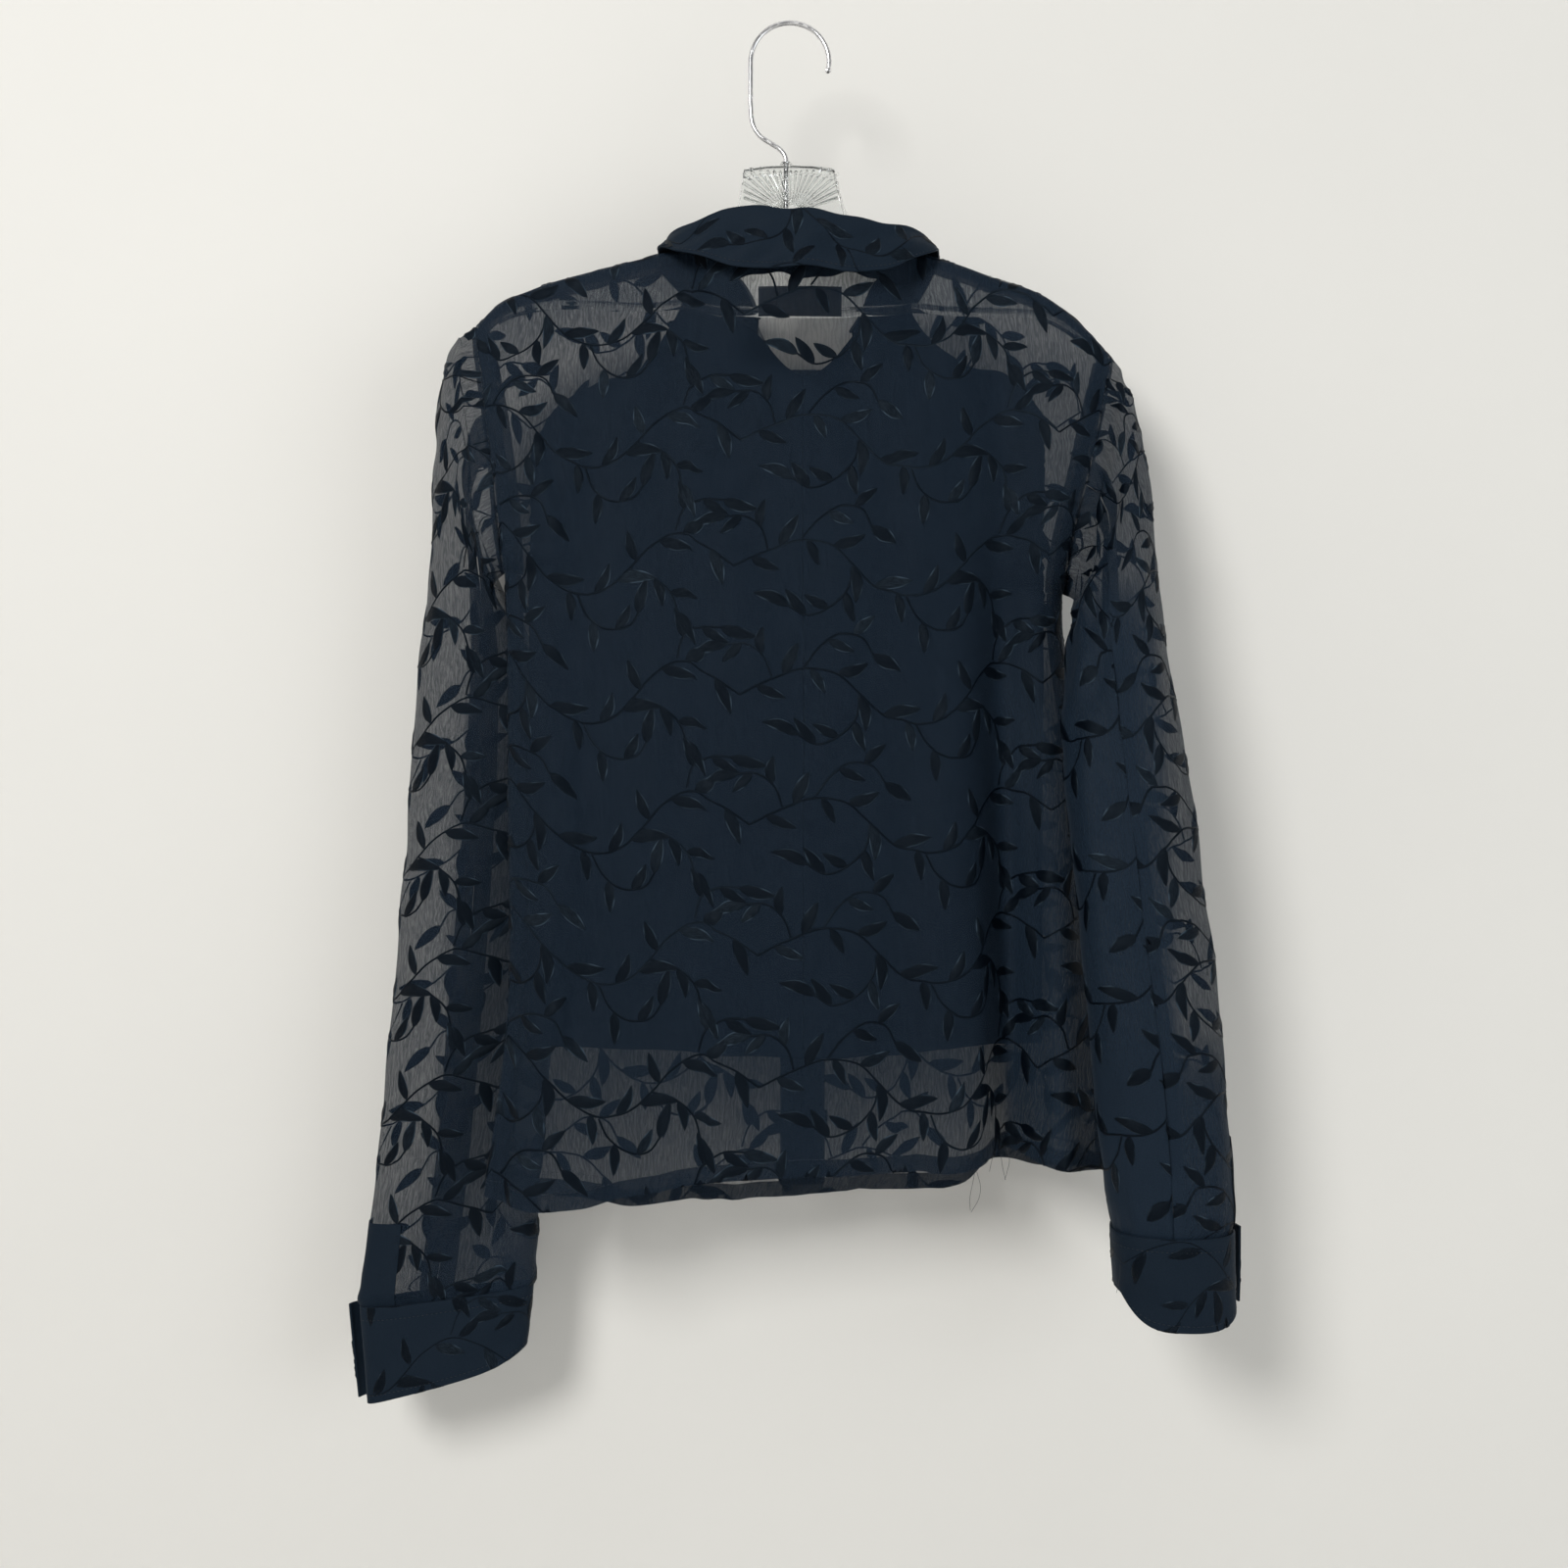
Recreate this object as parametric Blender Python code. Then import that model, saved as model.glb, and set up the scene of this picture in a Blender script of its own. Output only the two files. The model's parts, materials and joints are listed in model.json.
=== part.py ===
"""A sheer button-down blouse, seen from its back, hung on a clear hanger with a metal hook.

Every cloth piece is a thin closed wall whose middle surface is worked out from the tables below.
Sizes are in millimetres, and drop is the distance below the inner top of the hook, the origin.
The blouse's back faces -Y, so the wearer's left is at -X.
"""

import math

import bmesh
import bpy
import numpy as np

MM = 0.001

# Cloth, seams and laps
WALL = 1.2
SEAM_GAP = 0.3
CUFF_WALL = 2.0
LINING_WALL = 1.0
LABEL_WALL = 1.0
LABEL_SET_IN = 1.9
SLEEVE_GAP = 0.9
CUFF_GAP = 0.9
LINING_SET_IN = 3.0
LAP_STEP = 1.9
LAP_LEFT_EDGE = -5.0
LAP_RIGHT_EDGE = 21.0
LAP_EASE = 14.0
SIDE_FULLNESS = 0.7
FRONT_EDGES = {"left": (0.0, LAP_RIGHT_EDGE), "right": (LAP_LEFT_EDGE, 1.0)}
FRONT_SPREAD = np.linspace(0, 1, 19)
# Rows of points down a panel, with the steps of those that stand close under its upper edge
BACK_ROWS = 15
BACK_TOP_STEPS = (0, 1.2, 3.4, 7, 14, 27, 46)
FRONT_ROWS = 13
FRONT_TOP_STEPS = (0, 1.2, 3.4, 7, 14, 30)
LINING_ROWS = 9
LINING_TOP_STEPS = (0, 16, 40)
# The back's columns stand closer together over its deep fold
BACK_SPREAD = np.concatenate([
    np.linspace(0, 0.66, 20), np.linspace(0.66, 0.86, 13)[1:], np.linspace(0.86, 1, 5)[1:],
])

# Neck, armholes and shoulders
NECK_X = 5.0
NECK_HALF_WIDTH = 67.0
NECK_BACK_DEPTH = 25.0
NECK_FRONT_DEPTH = 26.0
SHOULDER_ROUND = 5.4
SHOULDER_EASE = 70.0
ARMHOLE_DEPTH = 17.0
ARMHOLES = {"left": (185.0, 337.0), "right": (203.0, 346.0)}

# The label inside the back neck
LABEL_ACROSS = (-19.0, 31.0)
LABEL_DROPS = (166.0, 183.0)

# Hanger and hook
HANGER_THICK = 7.6
HANGER_CLEAR = 1.5
WIRE = 3.0
HOOK_RADIUS = 24.0

# Buttons
BUTTON_ACROSS = 11.0
BUTTON_THICK = 2.4
BUTTON_X = 8.0
FIRST_BUTTON_DROP = 222.0
BUTTON_PITCH = 88.0
BUTTON_COUNT = 6
BUTTON_SIDES = 14
BUTTON_PROFILE = ((0, 0), (0.86, 0), (1, 0.35), (0.96, 1), (0.74, 1), (0.62, 0.7), (0, 0.7))

BODY_COLUMNS = ("drop", "left", "right", "y_left", "y_mid", "y_right", "back", "front")
BODY = (
    (110, -196, 204, 0, 0, 0, 12, 12),
    (185, -192, 199, 0, 0, 0, 15, 13),
    (203, -189, 196, -1, 0, 0, 16, 14),
    (260, -180, 184, -5, -4, 2, 19, 16),
    (340, -172, 168, -14, -8, 6, 22, 24),
    (470, -169, 182, -20, -10, 12, 27, 30),
    (600, -168, 195, -28, -10, 14, 31, 34),
    (720, -181, 201, -46, -10, 12, 35, 36),
)

# Shoulder seams and the back of the neck, from the left armhole to the right one
SHOULDER_COLUMNS = ("x", "drop")
SHOULDER = (
    (-192, 185), (-182, 174), (-158, 162), (-118, 150), (-90, 143), (-62, 137), (-40, 143),
    (5, 147), (50, 144), (72, 139), (98, 145), (124, 154), (159, 168), (184, 189), (196, 203),
)
FRONT_NECK_COLUMNS = ("x", "drop")
FRONT_NECK = (
    (-62, 137), (-47, 142), (-35, 149), (-27, 160), (-21, 176), (9, 210),
    (38, 187), (45, 173), (50, 159), (58, 148), (72, 139),
)
HEM_COLUMNS = ("x", "back", "front")
HEM = (
    (-182, 704, 706), (-150, 711, 714), (-120, 711, 719), (-90, 704, 724), (-60, 698, 724),
    (0, 695, 723), (70, 694, 718), (110, 692, 716), (130, 688, 702), (152, 694, 703), (198, 699, 706),
)
LINING_COLUMNS = ("x", "top", "hem")
LINING = (
    (-175, 300, 622), (-150, 240, 624), (-120, 217, 626), (-90, 205, 628), (-74, 182, 630),
    (-58, 160, 632), (-46, 163, 633), (-36, 176, 634), (-26, 181, 634), (9, 212, 636), (38, 189, 636),
    (46, 178, 635), (56, 162, 634), (66, 160, 634), (82, 184, 632), (110, 205, 630), (135, 211, 628),
    (160, 240, 626), (190, 310, 620),
)

# A soft trough (depth above 0, pushed away from the panel's face) or ridge (below 0) that runs down a panel
FOLD_COLUMNS = ("panel", "top_x", "top_drop", "low_x", "low_drop", "width", "top_depth", "low_depth")
FOLDS = (
    ("back", 126, 260, 136, 705, 15, 8, 40),
    ("back", 162, 330, 166, 710, 13, -2, -9),
    ("back", 96, 420, 98, 710, 16, -1, -8),
    ("back", -122, 280, -116, 560, 14, 2, 6),
    ("back", -146, 420, -150, 715, 15, -1, -9),
    ("back", -92, 560, -104, 715, 13, 0, 7),
    ("back", -40, 600, -44, 712, 16, 0, -4),
    ("back", 58, 300, 66, 700, 18, 0, 5),
    ("front", -112, 300, -100, 720, 16, 2, 9),
    ("front", -62, 380, -66, 722, 14, 0, -6),
    ("front", 76, 330, 70, 720, 15, 1, 7),
    ("front", 124, 300, 128, 712, 14, -2, -9),
    ("front", 154, 420, 160, 710, 12, 0, 6),
)

SLEEVE_COLUMNS = ("outer_x", "outer_drop", "outer_y", "inner_x", "inner_drop", "inner_y", "half_depth")
SLEEVES = {
    "left": (
        (-203, 191, 0, -181, 343, -8, 18),
        (-213, 222, 3, -181, 353, 4, 20),
        (-219, 262, 8, -171, 365, 14, 22),
        (-224, 310, 14, -157, 384, 20, 23),
        (-229, 374, 18, -145, 414, 22, 23),
        (-236, 457, 20, -141, 472, 22, 23),
        (-242, 532, 20, -143, 540, 21, 23),
        (-249, 614, 18, -147, 616, 20, 22),
        (-255, 696, 17, -153, 694, 19, 20),
        (-263, 762, 16, -158, 752, 18, 17),
        (-266, 789, 15, -160, 776, 17, 13),
    ),
    "right": (
        (203, 211, -2, 176, 351, 2, 15),
        (209, 233, -8, 174, 362, -10, 17),
        (213, 270, -16, 167, 380, -22, 20),
        (216, 320, -26, 163, 405, -31, 23),
        (221, 376, -34, 162, 440, -37, 25),
        (232, 456, -39, 164, 486, -40, 27),
        (243, 540, -40, 170, 550, -40, 28),
        (254, 620, -40, 178, 622, -40, 28),
        (259, 690, -38, 186, 688, -38, 28),
        (260, 727, -36, 190, 727, -36, 27),
    ),
}
SLEEVE_SIDES = 18
# A cuff's grid, and the column of it that carries the button
CUFF_COLUMNS_ROUND = 25
CUFF_ROWS = 3
CUFF_BUTTON_COLUMN = 21
# Each cuff's lower edge, how far its ends stand apart, how far the lower end reaches past the upper, and how
# far its lower corners rise above its edge on the outer and inner side
CUFF_COLUMNS = (*SLEEVE_COLUMNS, "part", "lap", "lift_outer", "lift_inner")
CUFFS = {
    "left": (-260, 846, 13, -164, 820, 16, 12, 3.0, 8.0, 0.0, 8.0),
    "right": (260, 780, -36, 192, 778, -36, 27, 3.5, 6.0, 9.0, 20.0),
}

# The collar from its left front end (-1) past the centre back (0) to its right front end (1)
COLLAR_COLUMNS = ("place", "stand", "lean", "fall", "spread")
COLLAR = (
    (-1.0, 5, 5, 52, 10), (-0.75, 6, 7, 40, 12), (-0.55, 5, 8.5, 13, 12), (-0.42, 4, 9, 6, 6),
    (-0.3, 8, 6, 16, 8), (-0.16, 22, 2, 35, 7), (0.0, 21, 1, 35, 7), (0.16, 15.5, 2, 32, 7),
    (0.3, 8, 6, 18, 8), (0.42, 4, 9, 6, 6), (0.55, 5, 8.5, 13, 12), (0.75, 6, 7.5, 40, 12),
    (1.0, 5, 5, 52, 10),
)
COLLAR_LINES = 31
COLLAR_GAP = 0.7
COLLAR_NEAR = 0.02
COLLAR_FOLD = 1.9
# The places past which the collar runs on the fronts, and where its front ends lie in x
COLLAR_TURN = 0.45
COLLAR_ENDS = (-22.0, 40.0)

# The hanger's middle plate, between its arms
PLATE_COLUMNS = ("x", "top", "bottom")
PLATE = (
    (-44, 134, 178), (-37, 124, 178), (-32, 111, 178), (-28, 88, 178), (-14, 86, 179), (0, 85.5, 179),
    (14, 86, 179), (27, 88, 179), (33, 111, 179), (41, 126, 178), (50, 137, 178),
)
# Each arm runs from its tip to the plate, where it is deeper
ARM_COLUMNS = ("tip_x", "root_x")
ARMS = ((-178.0, -56.0), (182.0, 66.0))
ARM_STATIONS = 11
ARM_TIP_DEPTH = 11.0
ARM_ROOT_DEPTH = 36.0
ARM_THICKNESS_SHARE = 0.74
# The rounding of the hanger's upper and lower edges, as shares of its half thickness
HANGER_EDGE = ((0.0, 0.0), (0.62, 0.25), (1.0, 1.0))
# The hook's wire between the plate's top and its round bend
HOOK_STEM_COLUMNS = ("x", "drop")
HOOK_STEM = (
    (-2.4, 85.2), (-2.6, 81.5), (-5, 77), (-12, 72), (-19, 67.5), (-23, 60), (-24, 48), (-24, 34),
)
HOOK_ARC_DEGREES = range(180, -17, -12)

NAVY = (0.012, 0.017, 0.026)


def rows(table, columns):
    """A table's columns by name, as arrays."""
    return {name: np.array([row[place] for row in table], float) for place, name in enumerate(columns)}


def read(table, columns, name, at):
    """A column between its rows, on a cubic that passes through every row."""
    data = rows(table, columns)
    keys = data[columns[0]]
    values = data[name]
    slopes = np.gradient(values, keys)
    at = np.clip(at, keys[0], keys[-1])
    low = np.clip(np.searchsorted(keys, at) - 1, 0, len(keys) - 2)
    step = keys[low + 1] - keys[low]
    t = (at - keys[low]) / step
    return (
        (1 + 2 * t) * (1 - t) ** 2 * values[low]
        + t * (1 - t) ** 2 * step * slopes[low]
        + t * t * (3 - 2 * t) * values[low + 1]
        + t * t * (t - 1) * step * slopes[low + 1]
    )


def ease(t):
    """0 to 1 with level ends."""
    t = np.clip(t, 0.0, 1.0)
    return t * t * (3 - 2 * t)


def shoulder_drop(x):
    return read(SHOULDER, SHOULDER_COLUMNS, "drop", x)


def front_neck_drop(x):
    inside = np.abs(x - NECK_X) < NECK_HALF_WIDTH
    return np.where(inside, read(FRONT_NECK, FRONT_NECK_COLUMNS, "drop", x), shoulder_drop(x))


def side_share(x, drop):
    """How far across the body x lies: 0 at the left side, 1 at the right."""
    left = read(BODY, BODY_COLUMNS, "left", drop)
    right = read(BODY, BODY_COLUMNS, "right", drop)
    return np.arccos(np.clip((left + right - 2 * x) / (right - left), -1, 1)) / math.pi


def body_x(share, drop):
    left = read(BODY, BODY_COLUMNS, "left", drop)
    right = read(BODY, BODY_COLUMNS, "right", drop)
    return (left + right) / 2 - (right - left) / 2 * np.cos(math.pi * share)


def middle_y(share, drop):
    """The seam plane between back and front, bent with the hang of the body."""
    left, middle, right = (read(BODY, BODY_COLUMNS, name, drop) for name in ("y_left", "y_mid", "y_right"))
    toward_left = left * (1 - share) * (1 - 2 * share)
    toward_right = right * share * (2 * share - 1)
    return toward_left + middle * 4 * share * (1 - share) + toward_right


def armhole_half(side, drop):
    tip, underarm = ARMHOLES[side]
    along = np.clip((drop - tip) / (underarm - tip), 0, 1)
    return ARMHOLE_DEPTH * np.sqrt(np.maximum(4 * along * (1 - along), 0))


def hollow(share, x, drop, face):
    """Half the depth of the hollow body at a place, on its back (-1) or front (1) half."""
    depth = read(BODY, BODY_COLUMNS, "front" if face > 0 else "back", drop)
    edge = armhole_half("left", drop) * (1 - share) + armhole_half("right", drop) * share
    fullness = np.maximum(np.sin(math.pi * share), 0) ** SIDE_FULLNESS
    open_half = edge + (depth - edge) * fullness
    below = np.maximum(drop - shoulder_drop(x), 0)
    near = np.minimum(below, SHOULDER_ROUND)
    rounded = np.sqrt(SHOULDER_ROUND**2 - (SHOULDER_ROUND - near) ** 2)
    across = (x - NECK_X) / NECK_HALF_WIDTH
    neck = (NECK_FRONT_DEPTH if face > 0 else NECK_BACK_DEPTH) * np.sqrt(np.maximum(1 - across**2, 0))
    held = ease(below / SHOULDER_EASE)
    return np.maximum(rounded, neck) * (1 - held) + open_half * held


def fold_depth(panel, x, drop):
    total = np.zeros(np.broadcast(x, drop).shape)
    for row in FOLDS:
        fold = dict(zip(FOLD_COLUMNS, row))
        if fold["panel"] != panel:
            continue
        along = (drop - fold["top_drop"]) / (fold["low_drop"] - fold["top_drop"])
        centre = fold["top_x"] + (fold["low_x"] - fold["top_x"]) * along
        depth = fold["top_depth"] + (fold["low_depth"] - fold["top_depth"]) * np.clip(along, 0, 1)
        fade = ease((along + 0.35) / 0.35) * ease((1.3 - along) / 0.3)
        total = total + depth * fade * np.exp(-(((x - centre) / fold["width"]) ** 2))
    return total


def body_point(share, drop, face, lap=0.0):
    """A point on the middle of the back (-1) or front (1) wall; lap moves it out over the other front."""
    x = body_x(share, drop)
    seam_fade = np.sin(math.pi * np.clip(share, 0, 1)) ** 0.5
    inward = fold_depth("front" if face > 0 else "back", x, drop) * seam_fade
    y = middle_y(share, drop) + face * (SEAM_GAP / 2 + hollow(share, x, drop, face) - inward + lap)
    return np.stack(np.broadcast_arrays(x, y, -drop), axis=-1)


def row_drops(top, hem, steps, count):
    """Rows close together over the rounded shoulder, then even down to the hem."""
    near = [top + step for step in steps]
    last = near[-1]
    return near + [last + (hem - last) * (row + 1) / count for row in range(count)]


def normals_of(points, around):
    """Unit normals of a grid of points."""
    down = np.gradient(points, axis=0)
    if around:
        across = (np.roll(points, -1, axis=1) - np.roll(points, 1, axis=1)) / 2
    else:
        across = np.gradient(points, axis=1)
    normal = np.cross(across, down)
    length = np.linalg.norm(normal, axis=-1, keepdims=True)
    return normal / np.maximum(length, 1e-9)


def material_for(name, colour, roughness, metallic=0.0, transmission=0.0):
    material = bpy.data.materials.new(name)
    material.use_nodes = True
    shader = material.node_tree.nodes["Principled BSDF"]
    shader.inputs["Base Color"].default_value = (*colour, 1.0)
    shader.inputs["Roughness"].default_value = roughness
    shader.inputs["Metallic"].default_value = metallic
    shader.inputs["Transmission Weight"].default_value = transmission
    return material


def add_object(name, mesh, colour=NAVY, roughness=0.75, metallic=0.0, transmission=0.0):
    mesh.materials.append(material_for(name, colour, roughness, metallic, transmission))
    piece = bpy.data.objects.new(name, mesh)
    bpy.context.scene.collection.objects.link(piece)
    mesh.shade_smooth()
    mesh.set_sharp_from_angle(angle=math.radians(40))
    return piece


def wall(name, points, around=False, thick=WALL, keep_apart=None, **finish):
    """A closed wall of even thickness about a grid of points, which may run all the way round."""
    normal = normals_of(points, around)
    sides = [points + normal * thick / 2, points - normal * thick / 2]
    if keep_apart:
        sides = [keep_apart(side) for side in sides]
    down_count, across_count = points.shape[:2]
    form = bmesh.new()
    layers = [[[form.verts.new(point * MM) for point in line] for line in side] for side in sides]
    across_steps = across_count if around else across_count - 1
    for down in range(down_count - 1):
        for across in range(across_steps):
            ahead = (across + 1) % across_count
            for side, grid in enumerate(layers):
                upper, lower = grid[down], grid[down + 1]
                corner = [upper[across], lower[across], lower[ahead], upper[ahead]]
                form.faces.new(corner if side == 0 else corner[::-1])
    outer, inner = layers
    for across in range(across_steps):
        ahead = (across + 1) % across_count
        for down in (0, down_count - 1):
            form.faces.new([outer[down][across], outer[down][ahead], inner[down][ahead], inner[down][across]])
    if not around:
        for down in range(down_count - 1):
            for across in (0, across_count - 1):
                ends = [outer[down][across], outer[down + 1][across]]
                ends += [inner[down + 1][across], inner[down][across]]
                form.faces.new(ends)
    bmesh.ops.recalc_face_normals(form, faces=form.faces)
    bmesh.ops.triangulate(form, faces=form.faces)
    if form.calc_volume(signed=True) < 0:
        bmesh.ops.reverse_faces(form, faces=form.faces)
    mesh = bpy.data.meshes.new(name)
    form.to_mesh(mesh)
    form.free()
    return add_object(name, mesh, **finish)


def seam_keeper(shares, drops, face, neck_open):
    """Keeps a panel's side and shoulder edges half a seam gap from the seam plane."""
    limit = middle_y(shares, drops) + face * SEAM_GAP / 2

    def keep(side):
        edge = np.zeros(shares.shape, bool)
        edge[:, 0] = np.abs(shares[:, 0]) < 1e-6
        edge[:, -1] = np.abs(shares[:, -1] - 1) < 1e-6
        edge[0] = ~neck_open
        held = side.copy()
        apart = np.maximum(face * side[..., 1], face * limit) * face
        held[..., 1] = np.where(edge, apart, side[..., 1])
        return held

    return keep


def panel_grid(first_edge, last_edge, columns, down_count, top_of, hem_of, steps):
    """Shares and drops of a panel whose columns run from one upright edge (0) to the other (1).

    An edge is 0 or 1 at a side seam, and otherwise a place in x.
    """
    across_count = len(columns)
    level = np.full(across_count, 400.0)

    def edge_share(edge, drop):
        if edge in (0.0, 1.0):
            return edge
        return side_share(np.full(across_count, edge), drop)

    def shares_at(drop):
        first = edge_share(first_edge, drop)
        return first + (edge_share(last_edge, drop) - first) * columns

    top = level
    for _ in range(14):
        top = 0.5 * top + 0.5 * top_of(body_x(shares_at(top), top))
    hem = level
    for _ in range(10):
        hem = hem_of(body_x(shares_at(hem), hem))
    drops = np.array(row_drops(top, hem, steps, down_count))
    return np.array([shares_at(line) for line in drops]), drops


def back_hem(x):
    return read(HEM, HEM_COLUMNS, "back", x)


def front_hem(x):
    return read(HEM, HEM_COLUMNS, "front", x)


def lining_top(x):
    return read(LINING, LINING_COLUMNS, "top", x)


def lining_hem(x):
    return read(LINING, LINING_COLUMNS, "hem", x)


def build_back():
    shares, drops = panel_grid(
        0.0, 1.0, BACK_SPREAD, BACK_ROWS, shoulder_drop, back_hem, BACK_TOP_STEPS,
    )
    points = body_point(shares, drops, -1)
    neck_open = np.abs(points[0, :, 0] - NECK_X) < NECK_HALF_WIDTH
    return wall("back", points, keep_apart=seam_keeper(shares, drops, -1, neck_open))


def build_fronts():
    for side, (first, last) in FRONT_EDGES.items():
        shares, drops = panel_grid(
            first, last, FRONT_SPREAD, FRONT_ROWS, front_neck_drop, front_hem, FRONT_TOP_STEPS,
        )
        lap = 0.0
        if side == "right":
            lap = LAP_STEP * ease((LAP_RIGHT_EDGE + LAP_EASE - body_x(shares, drops)) / LAP_EASE)
        points = body_point(shares, drops, 1, lap)
        neck_open = np.abs(points[0, :, 0] - NECK_X) < NECK_HALF_WIDTH
        wall(f"front_{side}", points, keep_apart=seam_keeper(shares, drops, 1, neck_open))


def build_linings():
    """The opaque inner fronts, cut like a sleeveless top, on the fronts' own columns."""
    for side, (first, last) in FRONT_EDGES.items():
        spread = FRONT_SPREAD[2:-1] if side == "left" else FRONT_SPREAD[1:-2]
        shares, drops = panel_grid(
            first, last, spread, LINING_ROWS, lining_top, lining_hem, LINING_TOP_STEPS,
        )
        points = body_point(shares, drops, 1)
        outward = normals_of(points, False)
        outward *= np.sign(outward[..., 1:2])
        wall(f"lining_{side}", points - outward * LINING_SET_IN, thick=LINING_WALL)


def armhole_ring(side, turn):
    """The sleeve's first ring, a gap out from the armhole edge of back and front."""
    tip, underarm = ARMHOLES[side]
    drop = tip + (underarm - tip) * (1 - np.cos(turn)) / 2
    share = np.full(turn.shape, 0.0 if side == "left" else 1.0)
    back = body_point(share, drop, -1)
    front = body_point(share, drop, 1)
    ring = np.where((np.sin(turn) >= 0)[:, None], back, front)
    on_seam = np.abs(np.sin(turn)) < 1e-6
    ring[on_seam, 1] = middle_y(share, drop)[on_seam]
    ring[:, 0] += -SLEEVE_GAP if side == "left" else SLEEVE_GAP
    return ring


def ladder_ring(row, turn, fullness=0.75):
    """A flattened ring between an outer and an inner edge point."""
    across = (1 - np.cos(turn)) / 2
    x = row["outer_x"] + (row["inner_x"] - row["outer_x"]) * across
    drop = row["outer_drop"] + (row["inner_drop"] - row["outer_drop"]) * across
    middle = row["outer_y"] + (row["inner_y"] - row["outer_y"]) * across
    depth = row["half_depth"] * np.sign(np.sin(turn)) * np.abs(np.sin(turn)) ** fullness
    return np.stack([x, middle - depth, -drop], axis=-1)


def sleeve_rings(side, turn, between):
    """The sleeve's rings from the armhole to the cuff seam, with smooth ones between the table's rows."""
    table = SLEEVES[side]
    places = np.arange(len(table), dtype=float)
    columns = rows(table, SLEEVE_COLUMNS)
    rings = [armhole_ring(side, turn)]
    first = ladder_ring({name: columns[name][0] for name in SLEEVE_COLUMNS}, turn)
    if between > 1:
        rings.append((rings[0] + first) / 2)
    keyed = [(place, *row) for place, row in zip(places, table)]
    names = ("place", *SLEEVE_COLUMNS)
    for place in np.linspace(0, places[-1], (len(table) - 1) * between + 1):
        row = {name: float(read(keyed, names, name, np.array(place))) for name in SLEEVE_COLUMNS}
        rings.append(ladder_ring(row, turn))
    return np.array(rings)


def build_sleeve(side):
    turn = np.linspace(0, 2 * math.pi, SLEEVE_SIDES, endpoint=False)
    wall(f"sleeve_{side}", sleeve_rings(side, turn, between=2), around=True)


def cuff_points(side, across_count, down_count):
    """The open band of a cuff, from its upper end round to its lower, lapped end."""
    turn = np.linspace(0, 2 * math.pi, across_count)
    top = dict(zip(SLEEVE_COLUMNS, SLEEVES[side][-1]))
    low = dict(zip(CUFF_COLUMNS, CUFFS[side]))
    outward = -1 if side == "left" else 1
    rings = []
    for along in np.linspace(0, 1, down_count):
        row = {name: top[name] + (low[name] - top[name]) * along for name in SLEEVE_COLUMNS}
        ring = ladder_ring(row, turn)
        ring[:, 1] -= low["part"] * np.cos(turn / 2) * (0.35 + 0.65 * along)
        ring[:, 0] += outward * low["lap"] * (turn / (2 * math.pi)) ** 6
        corner = np.abs(np.cos(turn)) ** 4
        ring[:, 2] += along**2 * corner * np.where(np.cos(turn) > 0, low["lift_outer"], low["lift_inner"])
        rings.append(ring)
    points = np.array(rings)
    points[0, :, 2] -= CUFF_GAP
    return points


def build_cuff(side):
    points = cuff_points(side, CUFF_COLUMNS_ROUND, CUFF_ROWS)
    wall(f"cuff_{side}", points, thick=CUFF_WALL)


def collar_station(place):
    """Seam point, outward direction and table values of the collar at a place from -1 to 1."""
    past_side = abs(place) > COLLAR_TURN
    face = 1 if past_side else -1
    sign = 1 if place > 0 else -1
    if past_side:
        start = NECK_X + sign * NECK_HALF_WIDTH
        end = COLLAR_ENDS[0] if sign < 0 else COLLAR_ENDS[1]
        x = start + (end - start) * ease((abs(place) - COLLAR_TURN) / (1 - COLLAR_TURN)) ** 0.8
        drop = float(front_neck_drop(np.array(x)))
    else:
        x = NECK_X + NECK_HALF_WIDTH * math.sin(place / COLLAR_TURN * math.pi / 2)
        drop = float(shoulder_drop(np.array(x)))
    seam = body_point(side_share(np.array(x), np.array(drop)), np.array(drop), face)
    across = max(-1.0, min(1.0, (x - NECK_X) / NECK_HALF_WIDTH))
    outward = np.array([across, face * math.sqrt(1 - across**2), 0.0])
    values = {name: float(read(COLLAR, COLLAR_COLUMNS, name, np.array(place))) for name in COLLAR_COLUMNS[1:]}
    return seam, outward, values


def collar_points(places, bend_count, fall_count):
    """The collar's folded leaf: up the stand, over the fold and down the fall."""
    lines = []
    for place in places:
        seam, outward, values = collar_station(place)
        ahead = collar_station(place + COLLAR_NEAR)[0]
        behind = collar_station(place - COLLAR_NEAR)[0]
        rise = np.cross(outward, ahead - behind)
        rise /= np.linalg.norm(rise)
        up = np.array([0.0, 0.0, 1.0])
        base = seam + rise * (WALL + COLLAR_GAP)
        crest = base + rise * values["stand"] + outward * values["lean"]
        line = [base, base + (crest - base) * 0.5]
        for step in range(bend_count + 1):
            angle = math.pi * step / bend_count
            over = outward * (1 - math.cos(angle)) + up * math.sin(angle)
            line.append(crest + over * COLLAR_FOLD)
        edge = crest + outward * 2 * COLLAR_FOLD
        for step in range(1, fall_count + 1):
            along = step / fall_count
            line.append(edge + outward * values["spread"] * along - up * values["fall"] * along)
        lines.append(line)
    return np.array(lines).transpose(1, 0, 2)


def build_collar():
    places = np.linspace(-1, 1, COLLAR_LINES)
    wall("collar", collar_points(places, bend_count=3, fall_count=3))


def build_label():
    """The plain label that hangs from the back neck seam inside."""
    x, drops = np.meshgrid(np.linspace(*LABEL_ACROSS, 3), np.linspace(*LABEL_DROPS, 3))
    shares = side_share(x, drops)
    points = body_point(shares, drops, -1)
    points[..., 1] += LABEL_SET_IN
    wall("neck_label", points, thick=LABEL_WALL, colour=(0.01, 0.01, 0.012), roughness=0.5)


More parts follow.
